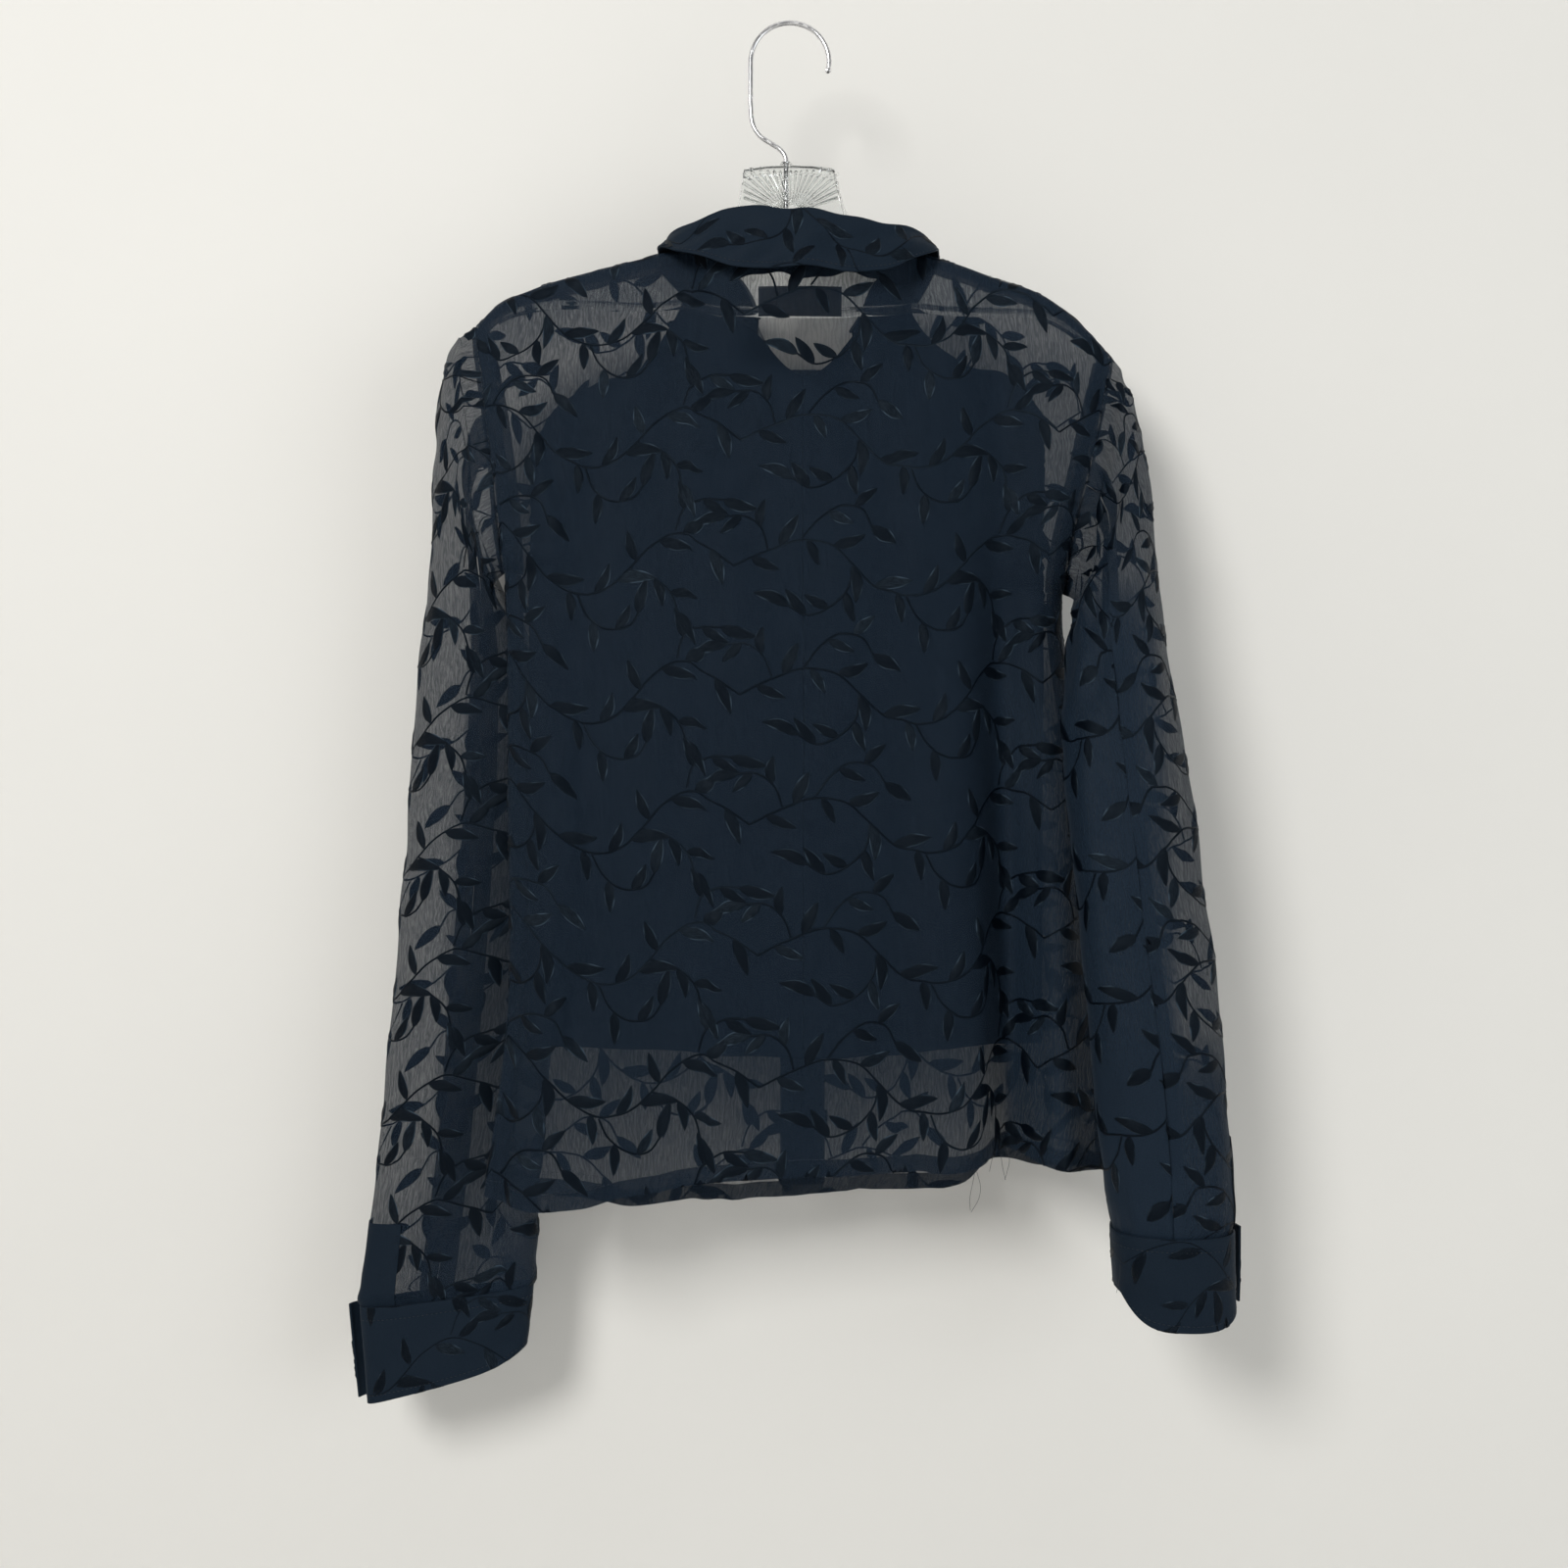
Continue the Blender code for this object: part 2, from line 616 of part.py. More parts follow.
def front_surface(x, drop, moved_out):
    """A place over the right front's outer side and the direction that it faces."""
    places = []
    for step_x, step_drop in ((0, 0), (1, 0), (0, 1)):
        level = np.array(drop + step_drop)
        lap = LAP_STEP * ease((LAP_RIGHT_EDGE + LAP_EASE - (x + step_x)) / LAP_EASE)
        places.append(body_point(side_share(np.array(float(x + step_x)), level), level, 1, lap))
    facing = np.cross(places[2] - places[0], places[1] - places[0])
    facing /= np.linalg.norm(facing)
    if facing[1] < 0:
        facing = -facing
    return places[0] + facing * moved_out, facing


def turned_button(name, centre, facing):
    """A small round button with a raised rim."""
    radius = BUTTON_ACROSS / 2
    profile = [(radius * across, BUTTON_THICK * up) for across, up in BUTTON_PROFILE]
    side = np.cross(facing, (0.0, 0.0, 1.0))
    side /= np.linalg.norm(side)
    rise = np.cross(side, facing)
    form = bmesh.new()
    rings = []
    for distance, height in profile:
        count = 1 if distance == 0 else BUTTON_SIDES
        angles = [2 * math.pi * step / count for step in range(count)]
        middle = centre + facing * height
        spokes = [side * math.cos(angle) + rise * math.sin(angle) for angle in angles]
        rings.append([form.verts.new((middle + spoke * distance) * MM) for spoke in spokes])
    for lower, upper in zip(rings, rings[1:]):
        for step in range(max(len(lower), len(upper))):
            corners = [lower[step % len(lower)], lower[(step + 1) % len(lower)]]
            corners += [upper[(step + 1) % len(upper)], upper[step % len(upper)]]
            form.faces.new(list(dict.fromkeys(corners)))
    bmesh.ops.recalc_face_normals(form, faces=form.faces)
    mesh = bpy.data.meshes.new(name)
    form.to_mesh(mesh)
    form.free()
    return add_object(name, mesh, colour=(0.015, 0.015, 0.02), roughness=0.25)


def build_buttons():
    out = WALL / 2 + SEAM_GAP
    for number in range(BUTTON_COUNT):
        centre, facing = front_surface(BUTTON_X, FIRST_BUTTON_DROP + BUTTON_PITCH * number, out)
        turned_button(f"button_{number + 1}", centre, facing)
    for side, outward_x, clear in (("left", 0.0, 0.5), ("right", 0.34, 0.9)):
        place = cuff_points(side, CUFF_COLUMNS_ROUND, CUFF_ROWS)[1, CUFF_BUTTON_COLUMN]
        facing = np.array([outward_x, math.sqrt(1 - outward_x**2), 0.0])
        turned_button(f"cuff_button_{side}", place + facing * (CUFF_WALL / 2 + SEAM_GAP + clear), facing)


def build_hanger():
    """The clear hanger: two arms under the shoulder seams and the plate that holds the hook."""
    plate = rows(PLATE, PLATE_COLUMNS)
    stations = [(*place, 1.0) for place in zip(plate["x"], plate["top"], plate["bottom"])]
    arms = rows(ARMS, ARM_COLUMNS)
    for tip, root in zip(arms["tip_x"], arms["root_x"]):
        for x in np.linspace(tip, root, ARM_STATIONS):
            top = float(shoulder_drop(np.array(x))) + HANGER_CLEAR
            deep = ARM_TIP_DEPTH + (ARM_ROOT_DEPTH - ARM_TIP_DEPTH) * ease((x - tip) / (root - tip))
            stations.append((x, top, top + deep, ARM_THICKNESS_SHARE))
    stations.sort()
    form = bmesh.new()
    rings = []
    for x, top, bottom, thick in stations:
        half = HANGER_THICK * thick / 2
        rounded = [(half * across, half * down) for across, down in HANGER_EDGE]
        outline = [(y, top + down) for y, down in rounded] + [(y, bottom - up) for y, up in rounded[::-1]]
        outline += [(-y, drop) for y, drop in outline[-2:0:-1]]
        rings.append([form.verts.new((x * MM, y * MM, -drop * MM)) for y, drop in outline])
    for first, second in zip(rings, rings[1:]):
        for step in range(len(first)):
            ahead = (step + 1) % len(first)
            form.faces.new([first[step], first[ahead], second[ahead], second[step]])
    form.faces.new(rings[0])
    form.faces.new(rings[-1])
    bmesh.ops.recalc_face_normals(form, faces=form.faces)
    mesh = bpy.data.meshes.new("hanger")
    form.to_mesh(mesh)
    form.free()
    return add_object("hanger", mesh, colour=(0.9, 0.92, 0.92), roughness=0.05, transmission=1.0)


def build_hook():
    """The bent wire: up from the plate, to the side, and round the hook to its turned tip."""
    stem = rows(HOOK_STEM, HOOK_STEM_COLUMNS)
    route = list(zip(stem["x"], -stem["drop"]))
    centre = WIRE / 2 - HOOK_RADIUS
    for degrees in HOOK_ARC_DEGREES:
        angle = math.radians(degrees)
        route.append((HOOK_RADIUS * math.cos(angle), centre + HOOK_RADIUS * math.sin(angle)))
    curve = bpy.data.curves.new("hanger_hook", "CURVE")
    curve.dimensions = "3D"
    curve.bevel_depth = WIRE / 2 * MM
    curve.bevel_resolution = 2
    curve.use_fill_caps = True
    spline = curve.splines.new("POLY")
    spline.points.add(len(route) - 1)
    for point, (x, z) in zip(spline.points, route):
        point.co = (x * MM, 0.0, z * MM, 1.0)
    curve.materials.append(material_for("hanger_hook", (0.7, 0.7, 0.7), 0.25, 1.0))
    hook = bpy.data.objects.new("hanger_hook", curve)
    bpy.context.scene.collection.objects.link(hook)
    return hook


for old in list(bpy.data.objects):
    bpy.data.objects.remove(old)

build_back()
build_fronts()
build_linings()
for sleeve_side in ("left", "right"):
    build_sleeve(sleeve_side)
    build_cuff(sleeve_side)
build_collar()
build_label()
build_buttons()
build_hanger()
build_hook()
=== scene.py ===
import json
import math

import bmesh
import bpy
import numpy as np
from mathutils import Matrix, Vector


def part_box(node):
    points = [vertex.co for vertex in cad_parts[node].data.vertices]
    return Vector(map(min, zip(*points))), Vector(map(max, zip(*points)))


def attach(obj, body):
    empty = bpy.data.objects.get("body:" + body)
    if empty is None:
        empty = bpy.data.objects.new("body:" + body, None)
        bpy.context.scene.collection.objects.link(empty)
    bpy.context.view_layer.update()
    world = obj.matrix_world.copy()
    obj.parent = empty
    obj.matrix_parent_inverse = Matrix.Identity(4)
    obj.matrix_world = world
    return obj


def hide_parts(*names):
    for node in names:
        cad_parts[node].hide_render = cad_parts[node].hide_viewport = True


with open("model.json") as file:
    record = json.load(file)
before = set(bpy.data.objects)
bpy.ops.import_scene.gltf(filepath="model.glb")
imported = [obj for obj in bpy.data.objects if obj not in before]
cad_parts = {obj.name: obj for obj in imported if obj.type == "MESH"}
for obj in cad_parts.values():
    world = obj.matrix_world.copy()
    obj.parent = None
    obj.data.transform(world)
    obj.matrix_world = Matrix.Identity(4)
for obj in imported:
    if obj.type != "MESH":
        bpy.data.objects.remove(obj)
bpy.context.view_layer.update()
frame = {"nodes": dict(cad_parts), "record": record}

# A sheer button-down blouse with woven leaf vines, seen from its back, hung on a clear hanger.
# Cloth sizes are in millimetres. Drop is the distance below the inner top of the hook, the origin.
# The back faces -Y, so the wearer's left is at -X.
MM = 0.001


# Body of the blouse, a row per height
BODY_COLUMNS = ("drop", "left", "right", "y_left", "y_mid", "y_right", "back", "front")
BODY = (
    (110, -196, 204, 0, 0, 0, 12, 12),
    (185, -192, 199, 0, 0, 0, 15, 13),
    (203, -189, 196, -1, 0, 0, 16, 14),
    (260, -180, 184, -5, -4, 2, 19, 16),
    (340, -172, 168, -14, -8, 6, 22, 24),
    (470, -169, 182, -20, -10, 12, 27, 30),
    (600, -168, 195, -28, -10, 14, 31, 34),
    (720, -181, 201, -46, -10, 12, 35, 36),
)
SHOULDER_COLUMNS = ("x", "drop")
SHOULDER = (
    (-192, 185), (-182, 174), (-158, 162), (-118, 150), (-90, 143), (-62, 137), (-40, 143),
    (5, 147), (50, 144), (72, 139), (98, 145), (124, 154), (159, 168), (184, 189), (196, 203),
)
FRONT_NECK_COLUMNS = ("x", "drop")
FRONT_NECK = (
    (-62, 137), (-47, 142), (-35, 149), (-27, 160), (-21, 176), (9, 210),
    (38, 187), (45, 173), (50, 159), (58, 148), (72, 139),
)
HEM_COLUMNS = ("x", "back", "front")
HEM = (
    (-182, 704, 706), (-150, 711, 714), (-120, 711, 719), (-90, 704, 724), (-60, 698, 724),
    (0, 695, 723), (70, 694, 718), (110, 692, 716), (130, 688, 702), (152, 694, 703), (198, 699, 706),
)
LINING_COLUMNS = ("x", "top", "hem")
LINING = (
    (-175, 300, 622), (-150, 240, 624), (-120, 217, 626), (-90, 205, 628), (-74, 182, 630),
    (-58, 160, 632), (-46, 163, 633), (-36, 176, 634), (-26, 181, 634), (9, 212, 636), (38, 189, 636),
    (46, 178, 635), (56, 162, 634), (66, 160, 634), (82, 184, 632), (110, 205, 630), (135, 211, 628),
    (160, 240, 626), (190, 310, 620),
)
FOLD_COLUMNS = ("panel", "top_x", "top_drop", "low_x", "low_drop", "width", "top_depth", "low_depth")
FOLDS = (
    ("back", 126, 260, 136, 705, 15, 8, 40),
    ("back", 162, 330, 166, 710, 13, -2, -9),
    ("back", 96, 420, 98, 710, 16, -1, -8),
    ("back", -122, 280, -116, 560, 14, 2, 6),
    ("back", -146, 420, -150, 715, 15, -1, -9),
    ("back", -92, 560, -104, 715, 13, 0, 7),
    ("back", -40, 600, -44, 712, 16, 0, -4),
    ("back", 58, 300, 66, 700, 18, 0, 5),
    ("front", -112, 300, -100, 720, 16, 2, 9),
    ("front", -62, 380, -66, 722, 14, 0, -6),
    ("front", 76, 330, 70, 720, 15, 1, 7),
    ("front", 124, 300, 128, 712, 14, -2, -9),
    ("front", 154, 420, 160, 710, 12, 0, 6),
)
# Fine creases that the solids leave out, by the same columns
CREASES = (
    ("back", -150, 245, -128, 330, 5, 2.2, 0.3), ("back", -160, 560, -168, 700, 5, 0, 3.0),
    ("back", -128, 600, -126, 665, 3.5, 1.6, 0.8), ("back", -124, 420, -121, 520, 4, 1.2, 0.6),
    ("back", 146, 430, 152, 640, 4, 1.5, 2.5), ("back", 112, 520, 116, 690, 4, -1.0, -2.4),
    ("back", 72, 600, 76, 690, 5, 0.0, 2.2), ("back", 14, 620, 10, 694, 7, 0.0, 1.6),
    ("back", -70, 640, -76, 700, 6, 0.0, -1.8), ("back", 176, 420, 180, 560, 4, 1.2, 1.4),
    ("front", -140, 260, -118, 360, 6, 2.0, 0.5), ("front", -30, 620, -34, 722, 6, 0.0, 2.2),
    ("front", 40, 560, 44, 720, 6, 0.0, -2.0), ("front", 100, 480, 96, 716, 5, 0.0, 2.4),
)
SLEEVE_COLUMNS = ("outer_x", "outer_drop", "outer_y", "inner_x", "inner_drop", "inner_y", "half_depth")
SLEEVES = {
    "left": (
        (-203, 191, 0, -181, 343, -8, 18),
        (-213, 222, 3, -181, 353, 4, 20),
        (-219, 262, 8, -171, 365, 14, 22),
        (-224, 310, 14, -157, 384, 20, 23),
        (-229, 374, 18, -145, 414, 22, 23),
        (-236, 457, 20, -141, 472, 22, 23),
        (-242, 532, 20, -143, 540, 21, 23),
        (-249, 614, 18, -147, 616, 20, 22),
        (-255, 696, 17, -153, 694, 19, 20),
        (-263, 762, 16, -158, 752, 18, 17),
        (-266, 789, 15, -160, 776, 17, 13),
    ),
    "right": (
        (203, 211, -2, 176, 351, 2, 15),
        (209, 233, -8, 174, 362, -10, 17),
        (213, 270, -16, 167, 380, -22, 20),
        (216, 320, -26, 163, 405, -31, 23),
        (221, 376, -34, 162, 440, -37, 25),
        (232, 456, -39, 164, 486, -40, 27),
        (243, 540, -40, 170, 550, -40, 28),
        (254, 620, -40, 178, 622, -40, 28),
        (259, 690, -38, 186, 688, -38, 28),
        (260, 727, -36, 190, 727, -36, 27),
    ),
}
CUFF_COLUMNS = (
    "outer_x", "outer_drop", "outer_y", "inner_x", "inner_drop", "inner_y", "half_depth", "part", "lap",
    "lift_outer", "lift_inner",
)
CUFFS = {
    "left": (-260, 846, 13, -164, 820, 16, 12, 3.0, 8.0, 0.0, 8.0),
    "right": (260, 780, -36, 192, 778, -36, 27, 3.5, 6.0, 9.0, 20.0),
}
COLLAR_COLUMNS = ("place", "stand", "lean", "fall", "spread")
COLLAR = (
    (-1.0, 5, 5, 52, 10), (-0.75, 6, 7, 40, 12), (-0.55, 5, 8.5, 13, 12), (-0.42, 4, 9, 6, 6),
    (-0.3, 8, 6, 16, 8), (-0.16, 22, 2, 35, 7), (0.0, 21, 1, 35, 7), (0.16, 15.5, 2, 32, 7),
    (0.3, 8, 6, 18, 8), (0.42, 4, 9, 6, 6), (0.55, 5, 8.5, 13, 12), (0.75, 6, 7.5, 40, 12), (1.0, 5, 5, 52, 10),
)

SEAM_GAP = 0.3
SIDE_FULLNESS = 0.7
NECK_X = 5.0
NECK_HALF_WIDTH = 67.0
NECK_BACK_DEPTH = 25.0
NECK_FRONT_DEPTH = 26.0
SHOULDER_ROUND = 5.4
SHOULDER_EASE = 70.0
ARMHOLE_DEPTH = 17.0
ARMHOLES = {"left": (185.0, 337.0), "right": (203.0, 346.0)}
LAP_STEP = 1.9
LAP_EDGES = (-5.0, 21.0)
LAP_EASE = 14.0
COLLAR_FOLD = 1.9
COLLAR_TURN = 0.45
COLLAR_ENDS = (-22.0, 40.0)
HEM_DEEP = 10.0
SEAM_WIDE = 9.0
FACING_WIDE = 27.0
NECK_BAND_DROP = 160.0
CLOTH_STEP = 3.0
BODY_LONG = 560.0
BAND_INSET = 0.45


# Reading the tables

def read(table, columns, name, at):
    """A column between its rows, on a cubic that passes through every row."""
    keys = np.array([row[0] for row in table], float)
    values = np.array([row[columns.index(name)] for row in table], float)
    slopes = np.gradient(values, keys)
    at = np.clip(at, keys[0], keys[-1])
    low = np.clip(np.searchsorted(keys, at) - 1, 0, len(keys) - 2)
    step = keys[low + 1] - keys[low]
    t = (at - keys[low]) / step
    return (
        (1 + 2 * t) * (1 - t) ** 2 * values[low]
        + t * (1 - t) ** 2 * step * slopes[low]
        + t * t * (3 - 2 * t) * values[low + 1]
        + t * t * (t - 1) * step * slopes[low + 1]
    )


def ease(t):
    t = np.clip(t, 0.0, 1.0)
    return t * t * (3 - 2 * t)


def shoulder_drop(x):
    return read(SHOULDER, SHOULDER_COLUMNS, "drop", x)


def front_neck_drop(x):
    inside = np.abs(x - NECK_X) < NECK_HALF_WIDTH
    return np.where(inside, read(FRONT_NECK, FRONT_NECK_COLUMNS, "drop", x), shoulder_drop(x))


def sides_at(drop):
    return read(BODY, BODY_COLUMNS, "left", drop), read(BODY, BODY_COLUMNS, "right", drop)


def side_share(x, drop):
    left, right = sides_at(drop)
    return np.arccos(np.clip((left + right - 2 * x) / (right - left), -1, 1)) / math.pi


def body_x(share, drop):
    left, right = sides_at(drop)
    return (left + right) / 2 - (right - left) / 2 * np.cos(math.pi * share)


def middle_y(share, drop):
    left, middle, right = (read(BODY, BODY_COLUMNS, name, drop) for name in ("y_left", "y_mid", "y_right"))
    rest = 1 - share
    return left * rest * (1 - 2 * share) + middle * 4 * share * rest + right * share * (2 * share - 1)


def armhole_half(side, drop):
    tip, underarm = ARMHOLES[side]
    along = np.clip((drop - tip) / (underarm - tip), 0, 1)
    return ARMHOLE_DEPTH * np.sqrt(np.maximum(4 * along * (1 - along), 0))


def hollow(share, x, drop, face):
    """Half the depth of the hollow body on its back (-1) or front (1) half."""
    depth = read(BODY, BODY_COLUMNS, "front" if face > 0 else "back", drop)
    edge = armhole_half("left", drop) * (1 - share) + armhole_half("right", drop) * share
    open_half = edge + (depth - edge) * np.maximum(np.sin(math.pi * share), 0) ** SIDE_FULLNESS
    below = np.maximum(drop - shoulder_drop(x), 0)
    near = np.minimum(below, SHOULDER_ROUND)
    rounded = np.sqrt(SHOULDER_ROUND**2 - (SHOULDER_ROUND - near) ** 2)
    across = (x - NECK_X) / NECK_HALF_WIDTH
    neck = (NECK_FRONT_DEPTH if face > 0 else NECK_BACK_DEPTH) * np.sqrt(np.maximum(1 - across**2, 0))
    held = ease(below / SHOULDER_EASE)
    return np.maximum(rounded, neck) * (1 - held) + open_half * held


def fold_depth(table, panel, x, drop):
    total = np.zeros(np.broadcast(x, drop).shape)
    for row in table:
        fold = dict(zip(FOLD_COLUMNS, row))
        if fold["panel"] != panel:
            continue
        along = (drop - fold["top_drop"]) / (fold["low_drop"] - fold["top_drop"])
        centre = fold["top_x"] + (fold["low_x"] - fold["top_x"]) * along
        depth = fold["top_depth"] + (fold["low_depth"] - fold["top_depth"]) * np.clip(along, 0, 1)
        fade = ease((along + 0.35) / 0.35) * ease((1.3 - along) / 0.3)
        total = total + depth * fade * np.exp(-(((x - centre) / fold["width"]) ** 2))
    return total


def soft_noise(seed, first, second, size, count=9):
    """Smooth uneven swells, as a sum of seeded waves in all directions."""
    wave = np.random.default_rng(seed)
    total = np.zeros(np.broadcast(first, second).shape)
    for _ in range(count):
        angle = wave.uniform(0, math.pi)
        length = size * wave.uniform(0.7, 1.6)
        phase = wave.uniform(0, 2 * math.pi)
        travel = first * math.cos(angle) + second * math.sin(angle)
        total = total + np.sin(travel * 2 * math.pi / length + phase)
    return total / math.sqrt(count)


def puckers(along, away, pitch, reach, seed):
    """Small uneven gathers that run out from a seam and die away."""
    wobble = soft_noise(seed, along, along * 0, pitch * 4.0, 5) * pitch * 0.35
    strength = 0.65 + 0.35 * soft_noise(seed + 1, along, along * 0, pitch * 3.0, 5)
    return np.sin((along + wobble) * 2 * math.pi / pitch) * strength * np.exp(-np.maximum(away, 0) / reach)


def body_detail(share, x, drop, face):
    """Creases, gathers at the sleeve heads and shoulders, and the drape's slow swells."""
    left, right = sides_at(drop)
    panel = "front" if face > 0 else "back"
    inside = ease(np.minimum(share, 1 - share) * 14) * ease((drop - shoulder_drop(x)) / 10)
    out = -1.35 * fold_depth(CREASES, panel, x, drop) * inside
    out += 0.8 * soft_noise(7 + face, x, drop * 0.35, 46) * inside
    out += 0.35 * soft_noise(17 + face, x, drop * 0.6, 17) * inside
    for side, away in (("left", x - left), ("right", right - x)):
        tip, underarm = ARMHOLES[side]
        near = ease((drop - tip - 4) / 12) * ease((underarm + 10 - drop) / 30)
        out += 1.25 * near * puckers(drop, away, 8.5, 17, 23 + face) * ease(away / 3 + 0.3)
    below = drop - shoulder_drop(x)
    off_neck = ease((np.abs(x - NECK_X) - NECK_HALF_WIDTH) / 14)
    out += 0.7 * off_neck * puckers(x, below, 11, 20, 31 + face) * ease(below / 5)
    hem = read(HEM, HEM_COLUMNS, panel, x)
    out += (1.5 if face > 0 else 0.5) * puckers(x, hem - drop, 23, 22, 43 + face) * inside
    return out


def body_point(share, drop, face, lap=0.0, fine=True):
    """A point on the back's (-1) or the fronts' (1) cloth."""
    x = body_x(share, drop)
    seam_fade = np.sin(math.pi * np.clip(share, 0, 1)) ** 0.5
    inward = fold_depth(FOLDS, "front" if face > 0 else "back", x, drop) * seam_fade
    detail = body_detail(share, x, drop, face) if fine else 0.0
    y = middle_y(share, drop) + face * (SEAM_GAP / 2 + hollow(share, x, drop, face) - inward + lap + detail)
    return np.stack(np.broadcast_arrays(x, y, -drop), axis=-1)


def panel_shares(first, last, columns):
    """The share of every column at a drop. An edge is 0 or 1 at a side seam, and otherwise a place in x."""
    def at(drop):
        start = first if first in (0.0, 1.0) else side_share(first, drop)
        end = last if last in (0.0, 1.0) else side_share(last, drop)
        return start + (end - start) * columns
    return at


def panel_grid(first, last, across_count, down_count, top_of, hem_of):
    columns = np.linspace(0, 1, across_count)
    share_at = panel_shares(first, last, columns)
    top = np.full(across_count, 400.0)
    hem = top
    for _ in range(16):
        top = 0.5 * top + 0.5 * top_of(body_x(share_at(top), top))
        hem = hem_of(body_x(share_at(hem), hem))
    down = np.linspace(0, 1, down_count)[:, None]
    down = down * 0.86 + down**2 * 0.14
    drops = top + (hem - top) * down
    return np.array([share_at(line) for line in drops]), drops


def lap_of(side, x):
    return LAP_STEP * ease((LAP_EDGES[1] + LAP_EASE - x) / LAP_EASE) if side == "right" else 0.0


# Sleeves, cuffs and collar

def armhole_ring(side, turn):
    tip, underarm = ARMHOLES[side]
    drop = tip + (underarm - tip) * (1 - np.cos(turn)) / 2
    share = np.full(turn.shape, 0.0 if side == "left" else 1.0)
    back, front = body_point(share, drop, -1), body_point(share, drop, 1)
    return np.where((np.sin(turn) >= 0)[:, None], back, front)


def ladder_ring(row, turn, fullness=0.75):
    across = (1 - np.cos(turn)) / 2
    x = row["outer_x"] + (row["inner_x"] - row["outer_x"]) * across
    drop = row["outer_drop"] + (row["inner_drop"] - row["outer_drop"]) * across
    middle = row["outer_y"] + (row["inner_y"] - row["outer_y"]) * across
    depth = row["half_depth"] * np.sign(np.sin(turn)) * np.abs(np.sin(turn)) ** fullness
    return np.stack([x, middle - depth, -drop], axis=-1)


def sleeve_row(side, place):
    table = [(number, *row) for number, row in enumerate(SLEEVES[side])]
    names = ("place", *SLEEVE_COLUMNS)
    return {name: float(read(table, names, name, np.array(float(place)))) for name in SLEEVE_COLUMNS}


def sleeve_grid(side, down_count, around_count, start):
    """The sleeve's rings from the armhole to the cuff seam, opened along its own seam at the turn start."""
    turn = start + np.linspace(0, 2 * math.pi, around_count)
    rings = []
    last = len(SLEEVES[side]) - 1
    for place in np.linspace(-0.7, last, down_count):
        if place < 0:
            share = ease(-place / 0.7)
            below = ladder_ring(sleeve_row(side, 0), turn)
            rings.append(armhole_ring(side, turn) * share + below * (1 - share))
        else:
            rings.append(ladder_ring(sleeve_row(side, place), turn))
    points = np.array(rings)
    out = normals_of(points)
    centre = points.mean(axis=1, keepdims=True)
    out *= np.sign(np.sum(out * (points - centre), axis=(1, 2), keepdims=True))
    down = np.arange(down_count)[:, None] * CLOTH_STEP
    left_over = down[-1] - down
    seed = 61 if side == "left" else 71
    head = 1.5 * puckers(turn[None, :] * 22, down, 7.5, 20, seed)
    wrist = 0.9 * puckers(turn[None, :] * 24, left_over, 8, 22, seed + 3)
    along = turn[None, :] * 24
    slow = 1.5 * soft_noise(seed + 5, along * 1.3, down * 0.16, 34)
    slow = slow + 0.7 * soft_noise(seed + 6, along, down, 42)
    calm = ease(down / 12) * ease((left_over + 3) / 16)
    points = points + out * (head * ease(down / 6 + 0.15) + (wrist + slow) * calm)[..., None]
    return points, turn


def cuff_grid(side, down_count, around_count):
    """The open band of a cuff from its upper end to its lapped end."""
    turn = np.linspace(0, 2 * math.pi, around_count)
    top = dict(zip(SLEEVE_COLUMNS, SLEEVES[side][-1]))
    low = dict(zip(CUFF_COLUMNS, CUFFS[side]))
    outward = -1 if side == "left" else 1
    rings = []
    for along in np.linspace(0, 1, down_count):
        row = {name: top[name] + (low[name] - top[name]) * along for name in SLEEVE_COLUMNS}
        ring = ladder_ring(row, turn)
        ring[:, 1] -= low["part"] * np.cos(turn / 2) * (0.35 + 0.65 * along)
        ring[:, 0] += outward * low["lap"] * (turn / (2 * math.pi)) ** 6
        ring[:, 1] += 0.5 * soft_noise(83, turn * 24, np.full(turn.shape, along * 50), 30)
        corner = np.abs(np.cos(turn)) ** 4
        ring[:, 2] += along**2 * corner * np.where(np.cos(turn) > 0, low["lift_outer"], low["lift_inner"])
        rings.append(ring)
    return np.array(rings)


def collar_seam(place):
    """A point of the neck seam, and the way out from the neck there."""
    face = 1 if abs(place) > COLLAR_TURN else -1
    sign = 1 if place > 0 else -1
    if face > 0:
        start = NECK_X + sign * NECK_HALF_WIDTH
        end = COLLAR_ENDS[0] if sign < 0 else COLLAR_ENDS[1]
        x = start + (end - start) * ease((abs(place) - COLLAR_TURN) / (1 - COLLAR_TURN)) ** 0.8
        drop = front_neck_drop(np.array(x))
    else:
        x = NECK_X + NECK_HALF_WIDTH * math.sin(place / COLLAR_TURN * math.pi / 2)
        drop = shoulder_drop(np.array(x))
    seam = body_point(side_share(np.array(x), drop), drop, face, fine=False)
    across = max(-1.0, min(1.0, (x - NECK_X) / NECK_HALF_WIDTH))
    return seam, np.array([across, face * math.sqrt(1 - across**2), 0.0])


